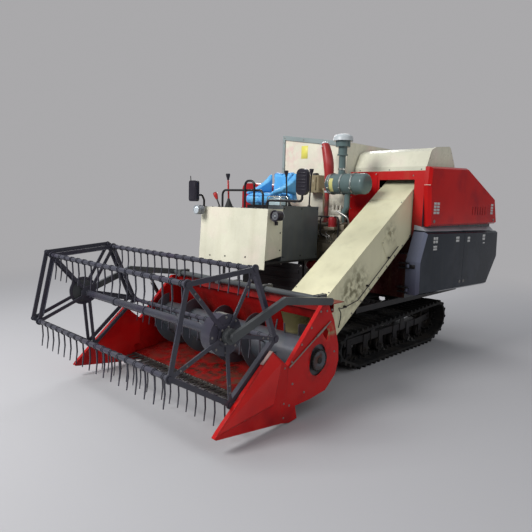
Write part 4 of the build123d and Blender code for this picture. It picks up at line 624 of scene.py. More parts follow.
for x in (0.065, 0.1125, 0.16):
    turned(
        [(0.01, 0.05), (0.012, 0.047), (0.012, 0.03), (0.017, 0.028), (0.017, 0)], (x, 0.245, 1.57), UP, 16
    )
    turned([(0.011, 0.022), (0.014, 0.018), (0.014, 0)], (x, 0.205, 1.48), FRONT, 6)
piece("valve_block", valve_casting)
for x, side_x, shade_top_z in ((0.065, -0.055, 1.25), (0.1125, 0.03, 1.31), (0.16, 0.262, 1.2)):
    side = [(side_x, 0.075, 1.5), (side_x, 0.075, shade_top_z), (side_x, 0.15, shade_top_z - 0.03)]
    pipe([(x, 0.185, 1.48), (x, 0.125, 1.5), *side], 0.0075, 0.035)
piece("valve_lines", black_paint)


# Air cleaner and stack: a drum of pressed steel in grey-green gloss, strapped with bright
# bands, and a precleaner with a pale cap. Clamp bolts close the bands, and a faded yellow
# blank label wraps its right end.
cleaner_paint = weathered(
    "cleaner_paint", (0.115, 0.165, 0.165), (0.42, 0.42, 0.38), 0.16, wear=0.4, dust=0.35,
    tint=(0.085, 0.12, 0.115)
)
finish_nodes(cleaner_paint, "air_cleaner", "intake_stack")
band_steel = weathered("band_steel", (0.62, 0.64, 0.6), (0.3, 0.25, 0.2), 0.2, metal=0.9)
drum_axis = (0.24, 1.845)
stack_axis = (0.156, 0.24)
for x in (0.052, 0.196, 0.33):
    band(0.112, 0.1142, x + 0.0005, x + 0.0155, (0, *drum_axis), LEFT, 64)
    block((x + 0.001, 0.118, 1.792), (x + 0.015, 0.142, 1.804), 0.002)
    bolts([(x + 0.008, 0.13, 1.804)], UP, 0.005)
drum_end = ((0, 0.019), (0.092, 0.019), (0.1095, 0.021), (0.1095, 0.032), (0.1075, 0.032), (0, 0.03))
turned(drum_end, (0, *drum_axis), LEFT, 64)
turned(
    [(0.0375, 0), (0.04, 0.002), (0.04, 0.022), (0.0375, 0.024)], (*stack_axis, 1.985), UP, 40, hollow=True
)
piece("cleaner_bands", band_steel)
cap_grey = weathered("cap_grey", (0.5, 0.54, 0.56), (0.3, 0.3, 0.3), 0.25, wear=0.2)
hood = (
    (0, 2.352), (0.058, 2.352), (0.08, 2.346), (0.094, 2.334), (0.1015, 2.316), (0.102, 2.29),
    (0.1035, 2.2865), (0.1005, 2.2862), (0.0995, 2.3), (0, 2.345),
)
turned(hood, (*stack_axis, 0), UP, 48)
turned([(0.005, 0.016), (0.01, 0.01), (0.01, 0)], (*stack_axis, 2.351))
piece("precleaner_cap", cap_grey)
faded_yellow = weathered("faded_yellow", (0.62, 0.58, 0.22), (0.5, 0.5, 0.4), 0.25, wear=0.4, dust=0.2)
label_ends = [
    [shape.verts.new(place) for place in circle(x, *drum_axis, 0.1086, 60, radians(150))[:14]]
    for x in (0.072, 0.118)
]
for first, second, third, fourth in zip(label_ends[0], label_ends[0][1:], label_ends[1][1:], label_ends[1]):
    shape.faces.new((first, second, third, fourth))
bmesh.ops.solidify(shape, geom=shape.faces[:], thickness=0.0006)
piece("cleaner_blank_label", faded_yellow)


# Exhaust: a steel pipe from the rocker cover into a silencer of rolled sheet, red where
# the heat has left the paint, its pipe darkened low down, clamped and capped in grey.
exhaust_paint = weathered(
    "exhaust_paint", (0.38, 0.03, 0.03), (0.16, 0.1, 0.09), 0.34, wear=0.4, tint=(0.44, 0.1, 0.1),
    smears_and_painted_light=(((-0.07, 0.3, 1.55), 0.3, (0.12, 0.06, 0.045), 0.9),),
)
finish_nodes(exhaust_paint, "exhaust")
mouth_cap = ((0, 0.036), (0.018, 0.034), (0.034, 0.022), (0.0435, 0), (0.047, -0.02), (0.0445, -0.02), (0, 0))
turned(mouth_cap, (-0.124, 0.3, 2.268), (-0.36, 0, 1), 32)
clamp = ((0.0285, -0.012), (0.0315, -0.01), (0.0315, 0.01), (0.0285, 0.012))
turned(clamp, (-0.07, 0.3, 1.765), UP, 32, hollow=True)
piece("exhaust_cap_and_clamp", cap_grey)
flange_turns = (0.8, 2.4, 3.9, 5.5)
bolts([(-0.07 + 0.032 * cos(turn), 0.3 + 0.032 * sin(turn), 1.4435) for turn in flange_turns], UP, 0.005)
piece("exhaust_flange_bolts", bolt_steel)


# Radiator housing: a rounded hood of maroon red sheet at the operator's right, with a
# slatted screen over fine wire mesh, a grip and two latches.
hood_red = weathered(
    "hood_red", (0.3, 0.01, 0.016), (0.2, 0.1, 0.08), 0.22, wear=0.35, tint=(0.36, 0.012, 0.014)
)
finish_nodes(hood_red, "radiator_housing")
mesh_wire = weathered("mesh_wire", (0.035, 0.035, 0.035), (0.2, 0.2, 0.2), 0.5, metal=0.6, dust=0.9)
mesh_pitch, wire = 0.0099, 0.0012
for place in range(31):
    y = -0.108 + mesh_pitch * place
    block((-0.9265, y, 1.135), (-0.9253, y + wire, 1.665), 0.0002)
for place in range(54):
    z = 1.137 + mesh_pitch * place
    block((-0.9253, -0.112, z), (-0.9243, 0.192, z + wire), 0.0002)
piece("radiator_mesh", mesh_wire, smooth=20)
block((-0.9, -0.1, 1.14), (-0.88, 0.18, 1.66), 0.002)
piece("radiator_core", cast_iron)
grip_line = [(-0.9345, -0.02, 1.745), (-0.962, -0.02, 1.745), (-0.962, 0.1, 1.745), (-0.9345, 0.1, 1.745)]
pipe(grip_line, 0.006, 0.02)
turned([(0.03, 0.03), (0.036, 0.024), (0.036, 0)], (-0.8, 0.14, 1.84))
for z in (1.2, 1.6):
    block((-0.943, 0.204, z - 0.02), (-0.9345, 0.232, z + 0.02), 0.003)
piece("radiator_grip_and_cap", black_paint)


# Small tanks: a fuel tank of black plastic under the grain tank in two steel straps, a
# black hydraulic tank beside the left rail, and a khaki oil reservoir on the grain tank,
# each with its cap.
tank_plastic = weathered(
    "tank_plastic", (0.022, 0.022, 0.022), (0.06, 0.06, 0.06), 0.5, wear=0.15, dust=0.4, grain=0.3
)
khaki_paint = weathered(
    "khaki_paint", (0.27, 0.22, 0.13), (0.16, 0.13, 0.1), 0.38, wear=0.4, dust=0.35, tint=(0.2, 0.17, 0.1)
)
finish_nodes(tank_plastic, "fuel_tank")
finish_nodes(black_paint, "hydraulic_tank")
finish_nodes(khaki_paint, "oil_reservoir")
for place in ((-0.74, 1.28, 1.079), (0.33, -0.22, 0.9), (-0.365, 0.465, 1.9535)):
    turned([(0.026, 0.026), (0.034, 0.022), (0.036, 0.016), (0.036, 0)], place, UP, 12)
piece("filler_caps", tank_plastic, smooth=20)
for y in (1.16, 1.4):
    block((-0.863, y - 0.016, 0.627), (-0.337, y + 0.016, 1.083), 0.043, segments=5, along=1)
bolts([(-0.6, y, 1.083) for y in (1.16, 1.4)], UP)
piece("fuel_tank_straps", band_steel)
block((-0.4, 0.3885, 1.83), (-0.33, 0.3905, 1.9), 0.0008)
pipe([(-0.3, 0.389, 1.79), (-0.3, 0.378, 1.79), (-0.3, 0.378, 1.93), (-0.3, 0.389, 1.93)], 0.005, 0.01)
pipe([(-0.27, 0.46, 1.8), (-0.235, 0.46, 1.8), (-0.235, 0.46, 1.6), (-0.16, 0.39, 1.38)], 0.009, 0.03)
piece("reservoir_fittings", khaki_paint)


# Operator's platform: a floor of raised tread plate on the legs, with two steps hung at
# its right side and a ribbed rubber mat under the operator's feet.
tread_plate = weathered(
    "tread_plate", (0.03, 0.03, 0.031), (0.3, 0.29, 0.28), 0.42, metal=0.3, wear=0.6, dust=0.6, tread=0.9
)
finish_nodes(tread_plate, "operator_floor")
mat_rubber = weathered("mat_rubber", (0.02, 0.02, 0.021), (0.06, 0.06, 0.06), 0.7, dust=0.8, grain=0.4)
block((-0.9, -0.68, 1.06), (-0.22, -0.46, 1.066), 0.002)
for place in range(21):
    x = -0.885 + 0.0325 * place
    block((x, -0.67, 1.065), (x + 0.012, -0.47, 1.07), 0.002)
piece("foot_mat", mat_rubber)


# Front panel: one cream sheet with its left return folded back, screwed to the platform.
# Its maker's place is bare. A dark horn with a trumpet mouth sits on the return, beside a
# small terminal box.
finish_nodes(cream_paint, "front_panel")
panel_lean = 0.035 / 0.58
for x, z in ((-0.769, 1.062), (-0.53, 1.074), (-0.233, 1.092)):
    bolts([(x, -0.74 - panel_lean * (1.57 - z), z)], (0, -1, panel_lean), 0.006)
bolts([(0.034, -0.56, z) for z in (1.17, 1.34, 1.53)], LEFT, 0.005)
bolts([(x, -0.63, 1.57) for x in (-0.9, -0.45, 0)], UP, 0.005)
piece("panel_screws", cast_iron)
horn_black = weathered("horn_black", (0.022, 0.018, 0.028), (0.1, 0.1, 0.1), 0.3, dust=0.2)
horn = (
    (0, -0.0415), (0.036, -0.0415), (0.0475, -0.03), (0.048, 0.03), (0.0545, 0.04), (0.0545, 0.0505),
    (0.049, 0.0505), (0.044, 0.044), (0, 0.042),
)
horn_place = (0.09, -0.66, 1.507)
turned(horn, horn_place, FRONT, 32)
for radius in (0.012, 0.024, 0.036):
    ridge = ((radius, 0.044), (radius + 0.004, 0.047), (radius + 0.008, 0.044))
    turned(ridge, horn_place, FRONT, hollow=True)
block((0.034, -0.642, 1.415), (0.052, -0.612, 1.452), 0.003)
piece("horn_and_terminal", horn_black)


# Side console: a slate sheet box at the operator's left, screwed along its edge, with a
# pale plastic instrument pod in a bright tube frame on top.
console_paint = weathered(
    "console_paint", (0.1, 0.112, 0.118), (0.2, 0.2, 0.21), 0.32, wear=0.35, dust=0.25,
    tint=(0.065, 0.075, 0.082), streaks=0.1,
)
finish_nodes(console_paint, "side_console")
bolts(product((0.03,), (-0.505, -0.24, 0.015), (1.1, 1.575)), LEFT, 0.005)
piece("console_screws", cast_iron)
pod_plastic = weathered(
    "pod_plastic", (0.52, 0.66, 0.7), (0.3, 0.35, 0.35), 0.22, wear=0.2, dust=0.2, grain=0.1
)
block((-0.1665, -0.5265, 1.6), (-0.0105, -0.4385, 1.673), 0.01)
piece("instrument_pod", pod_plastic)
gauge_glass = weathered("gauge_glass", (0.8, 0.84, 0.84), (0.6, 0.6, 0.6), 0.06, wear=0.1, dust=0.1, grain=0)
for x in (-0.13, -0.09, -0.05):
    turned([(0.014, 0.003), (0.0165, 0.006), (0.018, 0.004), (0.018, 0)], (x, -0.482, 1.6725), UP, 20)
piece("instrument_dials", gauge_glass)
for y in (-0.534, -0.431):
    pipe([(-0.178, y, 1.6), (-0.178, y, 1.69), (0.002, y, 1.69), (0.002, y, 1.6)], 0.005, 0.02)
piece("pod_tube_frame", band_steel)


# Seat: foam cushions in light blue vinyl on a black box, with a bolster at each side. Each
# is a blown-up pad. The cushion and the backrest have a sewn channel and piped edges.
finish_nodes(black_paint, "seat_base")
# Lighter cyan-blue patches mixed into the vinyl: a painted highlight.
seat_vinyl = weathered(
    "seat_vinyl", (0.1, 0.39, 0.74), (0.3, 0.55, 0.75), 0.26, wear=0.12, dust=0.1, grain=0.35,
    grain_scale=420,
    tint=(0.19, 0.52, 0.8),
)
piping_vinyl = weathered(
    "piping_vinyl", (0.07, 0.2, 0.5), (0.2, 0.3, 0.5), 0.35, wear=0.1, dust=0.1, grain=0.2
)
swell = 0.024
blowing_frames = 20
sewn_depth, sewn_width, sewn_falloff = 0.011, 0.01, 2.718
piping_radius = 0.0042
pads = (
    # name, low corner, high corner, edge, top's narrowing, front's drop, channel's x, CAD node
    ("seat_cushion_vinyl", (-0.585, -0.5, 1.604), (-0.175, -0.11, 1.724), 0.03, 0, 0, -0.38, "seat_cushion"),
    ("seat_backrest_vinyl", (-0.585, -0.106, 1.604), (-0.175, -0.006, 1.99), 0.03, 0.045, 0, -0.38,
     "seat_back"),
    ("seat_bolster_left", (-0.238, -0.47, 1.69), (-0.168, -0.052, 1.965), 0.01, 0, 0.215, None, None),
    ("seat_bolster_right", (-0.592, -0.47, 1.69), (-0.522, -0.052, 1.965), 0.01, 0, 0.215, None, None),
)


def apply_modifiers(pad):
    """Puts the result of a pad's modifiers in its mesh."""
    made = bpy.data.meshes.new_from_object(pad.evaluated_get(bpy.context.evaluated_depsgraph_get()))
    pad.modifiers.clear()
    pad.data = made


def blow_up(pad):
    """Blows a pad up by a cloth simulation, no further than its swell."""
    before = [vert.co.copy() for vert in pad.data.vertices]
    cloth = pad.modifiers.new("cloth", "CLOTH").settings
    cloth.use_pressure = True
    cloth.uniform_pressure_force = 4
    cloth.effector_weights.gravity = 0
    for number in range(1, blowing_frames + 1):
        scene.frame_set(number)
    apply_modifiers(pad)
    scene.frame_set(1)
    for vert, start in zip(pad.data.vertices, before):
        moved = vert.co - start
        if moved.length > swell:
            vert.co = start + moved.normalized() * swell


def stuffed(name, low, high, edge, narrowing, drop, channel_x):
    """A vinyl pad: its cut shape is blown up, then its channel is drawn in."""
    cut = bmesh.new()
    inset = Vector((0.75 * swell,) * 3)
    low, high = Vector(low) + inset, Vector(high) - inset
    middle = (low + high) / 2
    cube(cut, low, high)
    for vert in cut.verts:
        if vert.co.z > middle.z:
            vert.co.x += narrowing if vert.co.x < middle.x else -narrowing
            vert.co.z -= drop if vert.co.y < middle.y else 0
    bmesh.ops.bevel(cut, geom=cut.edges[:], offset=edge, segments=4, profile=0.5, affect="EDGES", material=-1)
    bmesh.ops.recalc_face_normals(cut, faces=cut.faces[:])
    pad = new_object(name, cut)
    remesh = pad.modifiers.new("remesh", "REMESH")
    remesh.mode = "VOXEL"
    remesh.voxel_size = 0.0065
    apply_modifiers(pad)
    blow_up(pad)
    for vert in pad.data.vertices:
        away = abs(vert.co.x - channel_x) / sewn_width if channel_x else 3
        if away < 3:
            inward = (middle - vert.co).normalized()
            inward.x = 0
            vert.co += inward * sewn_depth * sewn_falloff ** (-away * away)
    pad.data.shade_smooth()
    subdivision = pad.modifiers.new("subdivision", "SUBSURF")
    subdivision.levels = subdivision.render_levels = 1
    apply_modifiers(pad)
    pad.data.name = name
    pad.data.materials.clear()
    pad.data.materials.append(seat_vinyl)
    return pad


def piping(pad, corners):
    """Piping sewn round a pad: a closed cord of vinyl laid on the pad's surface."""
    corners = [Vector(corner) for corner in corners]
    laid = [
        pad.closest_point_on_mesh(start.lerp(end, step / 10))[1]
        for start, end in zip(corners, corners[1:] + corners[:1]) for step in range(10)
    ]
    line = new_line(piping_radius, 1, 2)
    spline = line.splines.new("NURBS")
    spline.points.add(len(laid) - 1)
    for knot, place in zip(spline.points, laid):
        knot.co = (*place, 1)
    spline.order_u = 3
    spline.use_cyclic_u = True
    take_tube(line)


for name, low, high, edge, narrowing, drop, channel_x, stands_for in pads:
    pad = stuffed(name, low, high, edge, narrowing, drop, channel_x)
    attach(pad, "chassis")
    if stands_for:
        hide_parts(stands_for)
cushion_corners = ((-0.555, -0.475), (-0.205, -0.475), (-0.205, -0.135), (-0.555, -0.135))
for z in (1.712, 1.62):
    piping(bpy.data.objects["seat_cushion_vinyl"], [(x, y, z) for x, y in cushion_corners])
backrest_corners = ((-0.56, 1.625), (-0.2, 1.625), (-0.238, 1.965), (-0.522, 1.965))
for y in (-0.1, -0.012):
    piping(bpy.data.objects["seat_backrest_vinyl"], [(x, y, z) for x, z in backrest_corners])
piece("seat_piping", piping_vinyl, smooth=60)


# Levers, handrails, mirrors and lamp: steel rods with moulded knobs and rubber bellows,
# rails of bent black tube on bolted feet, black plastic mirror shells with their glass
# towards the seat, and a pale round work lamp.
finish_nodes(black_paint, "control_levers", "handrails")
mirror_plastic = weathered(
    "mirror_plastic", (0.018, 0.016, 0.024), (0.06, 0.06, 0.06), 0.32, wear=0.15, dust=0.15, grain=0.2
)
lamp_plastic = weathered(
    "lamp_plastic", (0.26, 0.28, 0.3), (0.3, 0.3, 0.3), 0.28, wear=0.2, dust=0.2, grain=0.15
)
finish_nodes(mirror_plastic, "mirrors")
finish_nodes(lamp_plastic, "work_lamps")
levers = (
    # x, y, foot, top, sideways lean of its top
    (-0.618, -0.65, 1.57, 1.912, -0.022),
    (-0.119, -0.3, 1.6, 1.954, -0.026),
    (-0.04, -0.04, 1.6, 1.985, 0.016),
    (-0.761, -0.65, 1.57, 1.716, -0.084),
)
bellows = [(0.05, 0), (0.05, 0.006)]
for fold in range(6):
    wide, rise = 0.044 - 0.005 * fold, 0.008 + 0.0125 * fold
    bellows += [(wide, rise), (wide - 0.006, rise + 0.006)]
bellows += [(0.0145, 0.084), (0.012, 0.09)]
for x, y, foot, top, lean in levers[:2]:
    turned(bellows, (x, y, foot), (lean, 0, top - foot))
piece("lever_bellows", mat_rubber, smooth=60)
knob = (
    (0, 0.004), (0.02, 0.003), (0.0235, -0.004), (0.02, -0.022), (0.0125, -0.048), (0.0115, -0.06), (0, -0.06)
)
for x, y, foot, top, lean in levers[:3]:
    turned(knob, (x + lean, y, top), (lean, 0, top - foot))
piece("lever_knobs", mirror_plastic)
lever_red = weathered("lever_red", (0.4, 0.02, 0.018), (0.2, 0.1, 0.1), 0.28, dust=0.2)
x, y, foot, top, lean = levers[0]
sleeve = ((0.0082, 0.09), (0.0092, 0.095), (0.0092, 0.275), (0.0082, 0.28))
turned(sleeve, (x, y, foot), (lean, 0, top - foot), 16, hollow=True)
x, y, foot, top, lean = levers[3]
grip = (
    (0, 0.004), (0.017, 0.003), (0.0225, -0.006), (0.0225, -0.03), (0.017, -0.055), (0.0115, -0.075),
    (0, -0.075)
)
turned(grip, (x + lean, y, top), (lean, 0, top - foot))
piece("lever_red_grips", lever_red)
rail_feet = (
    (-0.66, -0.702), (-0.075, -0.702), (-0.3, -0.712), (-0.172, -0.712), (0, -0.712), (-0.936, -0.712)
)
for x, y in rail_feet:
    turned([(0.016, 0.005), (0.024, 0.003), (0.024, 0)], (x, y, 1.5695), UP, 20)
pipe([(-0.985, -0.865, 1.83), (-0.985, -0.865, 1.852), (-0.99, -0.865, 1.886)], 0.0045, 0.01)
piece("rail_feet_and_stub", black_paint)
mirror_glass = weathered(
    "mirror_glass", (0.62, 0.66, 0.68), (0.5, 0.5, 0.5), 0.04, metal=1, wear=0.1, dust=0.1, grain=0
)
block((-0.984, -0.8455, 1.632), (-0.876, -0.8435, 1.828), 0.0009)
block((0.378, -0.7025, 1.725), (0.482, -0.7005, 1.913), 0.0009)
piece("mirror_glasses", mirror_glass)
for place in range(6):
    z = 1.742 + 0.03 * place
    block((0.384, -0.7465, z), (0.476, -0.7405, z + 0.01), 0.0025)
block((-0.976, -0.8895, 1.645), (-0.884, -0.884, 1.815), 0.0025)
piece("mirror_back_ribs", mirror_plastic)
lamp_glass = weathered(
    "lamp_glass", (0.62, 0.68, 0.72), (0.5, 0.5, 0.5), 0.05, metal=0.35, wear=0.1, dust=0.2, grain=0.7,
    grain_scale=260,
)
lens_place = (-0.905, -0.8535, 1.536)
turned(
    [(0, 0.01), (0.02, 0.008), (0.038, 0.003), (0.04, 0), (0.04, -0.001), (0, -0.001)], lens_place, FRONT, 32
)
piece("lamp_lens", lamp_glass)
lamp_rim = (
    (0.04, 0.004), (0.0445, 0.006), (0.0485, 0.002), (0.0485, -0.014), (0.0465, -0.016), (0.04, -0.002)
)
turned(lamp_rim, lens_place, FRONT, 40, hollow=True)
for depth in (-0.024, -0.034, -0.044, -0.054):
    fin = ((0.0455, depth), (0.049, depth - 0.003), (0.0455, depth - 0.006))
    turned(fin, lens_place, FRONT, 32, hollow=True)
piece("lamp_rim", lamp_plastic)


# Feeder house: a sloping box of cream sheet with folded edges, bolted lids on its top and
# side, oil and crop grime on its left side, and a thin steel line clipped along it.
grime = (0.11, 0.095, 0.035)
feeder_cream = weathered(
    "feeder_cream", (0.69, 0.66, 0.45), (0.26, 0.2, 0.12), 0.28, wear=0.45, tint=(0.66, 0.64, 0.44),
    streaks=0.16,
    smears_and_painted_light=(
        ((0.81, -0.34, 0.9), 0.24, grime, 0.85),
        ((0.81, -0.5, 0.84), 0.16, grime, 0.7),
        ((0.81, 0.18, 1.37), 0.14, (0.2, 0.18, 0.1), 0.8),
        ((0.6, -0.6, 0.6), 0.3, grime, 0.7),
    ),
)
finish_nodes(feeder_cream, "feeder_house")
feeder_slope = radians(34.6)
feeder = tilted((0.615, -0.81, 0.85), (0, cos(feeder_slope), sin(feeder_slope)))
for x in (-0.1955, 0.192):
    block((x, 0.16, -0.394), (x + 0.0035, 1.5, -0.362), 0.0015, feeder)
block((0.1945, 0.93, -0.345), (0.1985, 1.15, -0.115), 0.0018, feeder)
block((-0.189, 1.46, -0.001), (0.189, 1.485, 0.003), 0.0015, feeder)
piece("feeder_lids", feeder_cream, "header")
flange_bolts = [0.21 + 0.17 * place for place in range(8)]
for sign in (-1, 1):
    bolts(product((sign * 0.1955,), flange_bolts, (-0.378,)), (sign, 0, 0), 0.006, feeder)
bolts(product((0.1985,), (0.945, 1.135), (-0.33, -0.13)), LEFT, 0.004, feeder)
bolts(product((-0.182, 0.182), (0.06, 1.44), (0,)), feeder.to_3x3() @ Vector(UP), 0.005, feeder)
piece("feeder_bolts", bolt_steel, "header")
clip_x = 0.832
line_start = (clip_x, -0.368, 0.775)
pipe(
    [line_start, (clip_x, -0.6, 0.73), (0.9, -0.76, 0.77), (1.004, -0.86, 0.75), (1.006, -0.895, 0.64)],
    0.0045, 0.04
)
pipe([line_start, (clip_x, -0.1, 0.96), (clip_x, 0.3, 1.235)], 0.0045, 0.02)
for y, z in ((-0.55, 0.74), (-0.2, 0.891), (0.15, 1.132)):
    block((0.809, y - 0.01, z - 0.009), (0.838, y + 0.01, z + 0.009), 0.003)
piece("feeder_line", black_paint, "header")


# Header body: trough, side plates and dividers of welded red sheet, worn bright where the
# crop slides, folds pressed on the dividers, a slack roller chain behind the left plate's
# window and a blank plate on the left divider.
header_red = weathered(
    "header_red", (0.52, 0.008, 0.008), (0.3, 0.16, 0.12), 0.22, dust=0.1, tint=(0.3, 0.004, 0.007),
    gloss=0.18,
    smears_and_painted_light=(
        ((1, -1.025, 0.63), 0.085, (0.22, 0.2, 0.09), 1),
        ((0.98, -0.95, 0.62), 0.06, (0.3, 0.28, 0.15), 0.8),
        ((1, -1.14, 0.42), 0.19, (0.05, 0.01, 0.008), 0.9),
    ),
)
# The trough takes a darker copy of the plates' red: painted shade inside the trough. Dark patches darken its
# floor further, and a brown patch is crop residue.
trough_shaded_red = weathered(
    "trough_shaded_red", (0.26, 0.006, 0.006), (0.2, 0.1, 0.08), 0.26, wear=0.4, dust=0.12,
    tint=(0.09, 0.005, 0.005),
    smears_and_painted_light=(
        ((0, -1.4, 0.14), 0.6, (0.035, 0.02, 0.014), 0.9),
        ((0.6, -1.3, 0.16), 0.45, (0.03, 0.018, 0.013), 0.8),
        ((-0.6, -1.3, 0.16), 0.45, (0.06, 0.022, 0.015), 0.7),
        ((0.35, -1.35, 0.14), 0.25, (0.12, 0.07, 0.04), 0.4),
    ),
)
finish_nodes(trough_shaded_red, "header_trough")
finish_nodes(header_red, "header_left_plate", "header_right_plate", "crop_dividers")
plate_bolts = ((-1.05, 0.8), (-0.985, 0.8), (-0.93, 0.45), (-1.3, 0.2), (-1.44, 0.3), (-1.47, 0.14))
for sign in (-1, 1):
    edge_shares = (0.08, 0.36, 0.64, 0.92) if sign > 0 else (0.08, 0.92)
    edge_bolts = [(-1.098 - 0.387 * share, 0.838 - 0.399 * share) for share in edge_shares]
    bolts([(sign, y, z) for y, z in (*edge_bolts, *plate_bolts)], (sign, 0, 0), 0.006)
    bolts([(sign, -1.53, z) for z in (0.06, 0.17, 0.44)], (sign, 0, 0), 0.005)
bolts([(x, -0.98, 0.847) for x in (-0.6, 0, 0.5, 0.62, 0.74)], UP)
piece("header_bolts", bolt_steel, "header")
fold_corners = (
    # distance from the middle, y, z: tip, crest, fold, behind, foot
    (1.0002, -2.178, 0.126), (1.0002, -1.668, 0.584), (1.0335, -1.606, 0.505), (1.0002, -1.56, 0.47),
    (1.0002, -1.64, 0.19),
)
for sign in (-1, 1):
    tip, crest, fold, behind, foot = [shape.verts.new((sign * x, y, z)) for x, y, z in fold_corners]
    for face in ((tip, crest, fold), (tip, fold, foot), (fold, crest, behind), (fold, behind, foot)):
        shape.faces.new(face)
    shape.faces.new((tip, foot, behind, crest))
# The folds take a brighter copy of the header red: painted light.
fold_lit_red = weathered(
    "fold_lit_red", (0.68, 0.014, 0.012), (0.3, 0.16, 0.12), 0.22, dust=0.06, tint=(0.52, 0.008, 0.008)
)
piece("divider_folds", fold_lit_red, "header", 12)
auger_axis = (-1.142, 0.422)
chain_radius = 0.0835
for place in circle(1.013, *auger_axis, chain_radius, 24):
    cone(8, 0.0062, 0.0062, -0.0085, 0.0085, standing(place, LEFT))
for number, place in enumerate(circle(0, *auger_axis, chain_radius, 24, pi / 24)):
    pose = Matrix.Translation(place) @ Matrix.Rotation((number + 0.5) * pi / 12, 4, "X")
    for x in (1.005 + 0.0022 * (number % 2), 1.0195 - 0.0022 * (number % 2)):
        block((x - 0.0008, -0.006, -0.0145), (x + 0.0008, 0.006, 0.0145), 0.0006, pose)
turned([(0.02, 0.0265), (0.026, 0.022), (0.026, 0.0185)], (1, *auger_axis), LEFT)
piece("auger_drive_chain", cast_iron, "header_auger")
block((-0.0155, -0.075, 0), (0.0155, 0.05, 0.0012), 0.0005, tilted((0.983, -1.7, 0.56), (0, 0.508, 0.406)))
plate_vinyl = weathered("plate_vinyl", (0.5, 0.34, 0.31), (0.4, 0.1, 0.08), 0.35, wear=0.5)
piece("divider_blank_plate", plate_vinyl, "header")


# Knife: steel sections bolted to a bar, each between forged fingers that taper to a point.
knife_steel = weathered(
    "knife_steel", (0.055, 0.05, 0.048), (0.22, 0.19, 0.17), 0.4, metal=0.6, wear=0.5, dust=0.35
)
finish_nodes(knife_steel, "cutter_bar", "reel_lift_pin")
finger_pitch = 0.076
finger_lie = Matrix.Diagonal((1, 1, 0.75, 1)) @ Matrix.Rotation(pi / 2, 4, "X")
for place in range(26):
    x = (place - 12.5) * finger_pitch
    cone(6, 0.0115, 0.0025, -0.049, 0.049, Matrix.Translation((x, -1.636, 0.1015)) @ finger_lie)
    block((x - 0.017, -1.59, 0.0925), (x + 0.017, -1.562, 0.0985))
piece("knife_fingers", knife_steel, "header")
knife_bolts = [(place - 12) * finger_pitch + side for place in range(25) for side in (-0.014, 0.014)]
bolts([(x, -1.574, 0.114) for x in knife_bolts], UP, 0.0042)
piece("knife_bolts", bolt_steel, "header")


# Auger: a rolled drum with welded flighting in grey paint, polished by the crop at its
# rim, with round steel fingers where it feeds the throat.
auger_end = (1.03, *auger_axis)
# At its left end, behind the chain window, the auger goes near black with dark red at the very end: painted
# shade.
auger_paint = weathered(
    "auger_paint", (0.075, 0.088, 0.105), (0.42, 0.4, 0.38), 0.28, metal=0.25, wear=0.9, dust=0.4,
    tint=(0.1, 0.1, 0.12),
    smears_and_painted_light=((auger_end, 0.16, (0.016, 0.007, 0.006), 1), (auger_end, 0.1, (0.09, 0.012, 0.008), 0.8)),
)
finish_nodes(auger_paint, "header_auger")


# Reel: five tined bats between pentagon frames of angle steel, turned by a round tube, in
# dark slate paint. The eccentric frame at the right keeps the tines upright. Spring wire
# coils hold each tine, and bolts join the frames to their hubs.
bats = [f"reel_bat_{number}" for number in range(1, 6)]
reel_paint = weathered(
    "reel_paint", (0.052, 0.053, 0.07), (0.28, 0.27, 0.29), 0.22, wear=0.55, dust=0.2,
    tint=(0.044, 0.038, 0.06)
)
finish_nodes(reel_paint, "reel_frame", "eccentric_spider", *bats)
reel_y, reel_z, reel_radius = -2.06, 0.769, 0.485
first_bat, bat_step = radians(49), radians(72)
left_face, right_face = 0.954, -0.93
bat_corners = [
    (reel_y - reel_radius * cos(turn), reel_z + reel_radius * sin(turn))
    for turn in (first_bat + bat_step * place for place in range(5))
]
bolts(circle(left_face, reel_y, reel_z, 0.055, 6, 0.3), LEFT, 0.006)
bolts(circle(right_face, reel_y, reel_z, 0.055, 6, 0.3), RIGHT, 0.006)
bolts(circle(0.944, reel_y, reel_z, 0.118, 8), LEFT, 0.006)
for y, z in bat_corners:
    toward = Vector((0, reel_y - y, reel_z - z)).normalized()
    bolts([Vector((left_face, y, z)) + toward * reach for reach in (0.085, 0.135)], LEFT, 0.005)
    bolts([Vector((right_face, y, z)) + toward * reach for reach in (0.085, 0.135)], RIGHT, 0.005)
piece("reel_bolts", bolt_steel, "reel")
for x in (-0.45, 0, 0.45):
    band(0.0302, 0.036, -0.012, 0.012, (x, reel_y, reel_z), LEFT)
piece("reel_tube_collars", reel_paint, "reel")
tine_count = 18
tine_step = 1.77 / (tine_count - 1)
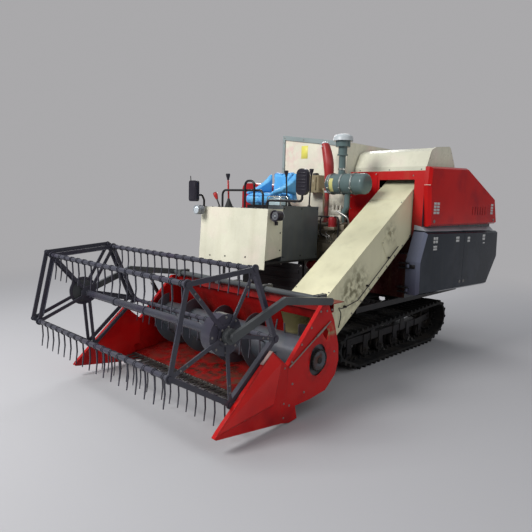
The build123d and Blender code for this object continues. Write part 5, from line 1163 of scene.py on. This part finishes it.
for number, (y, z) in enumerate(bat_corners):
    for row, shift in product(range(tine_count), (-0.0085, 0.0085)):
        band(0.0178, 0.0228, -0.0025, 0.0025, (-0.875 + row * tine_step + shift, y, z), LEFT, 12)
    piece(f"tine_springs_{number + 1}", reel_paint, bats[number])


# Reel arms: bent flat bars on a torsion tube in four bolted bearing blocks.
arm_paint = weathered(
    "arm_paint", (0.07, 0.078, 0.082), (0.26, 0.25, 0.23), 0.28, wear=0.6, dust=0.25,
    tint=(0.052, 0.055, 0.06)
)
finish_nodes(arm_paint, "reel_arms", "reel_bearings")
bearings = (-0.9, -0.3, 0.3, 0.9)
bolts([(x + side, -0.968, 0.913) for x in bearings for side in (-0.012, 0.012)], UP, 0.005)
bolts([(x, -1.04, 0.913) for x in bearings], UP, 0.004)
piece("bearing_bolts", bolt_steel, "header")


# Cylinders: the header's under the feeder and the reel's on the right plate, each a black
# tube with a gland and a chromed rod.
chrome = weathered(
    "chrome", (0.62, 0.63, 0.64), (0.4, 0.35, 0.3), 0.1, metal=1, wear=0.2, dust=0.15, grain=0.02
)
finish_nodes(black_paint, "lift_barrel", "reel_lift_barrel")
finish_nodes(chrome, "lift_rod", "reel_lift_rod")
stay_steel = weathered("stay_steel", (0.24, 0.22, 0.2), (0.2, 0.12, 0.08), 0.4, metal=0.7, wear=0.4, dust=0.4)
finish_nodes(stay_steel, "divider_stays")
barrel_share = 0.7
cylinders = (
    # barrel body, x, base y, base z, eye y, eye z, barrel radius, rod radius
    ("lift_barrel", 0.52, 0.35, 0.56, -0.18, 0.756, 0.034, 0.018),
    ("reel_lift_barrel", -1.023, -1.225, 0.63, -1.36, 0.858, 0.02, 0.011),
)
for body, x, base_y, base_z, eye_y, eye_z, barrel_radius, rod_radius in cylinders:
    along = Vector((0, eye_y - base_y, eye_z - base_z))
    bore = rod_radius + 0.0005
    gland = (
        (bore, 0.007), (rod_radius + 0.006, 0.007), (barrel_radius - 0.002, 0.003),
        (barrel_radius - 0.001, -0.004),
        (barrel_radius - 0.001, -0.012), (bore, -0.01),
    )
    turned(gland, Vector((x, base_y, base_z)) + along * barrel_share, along, 32, hollow=True)
    piece(f"{body}_gland", bolt_steel, body)
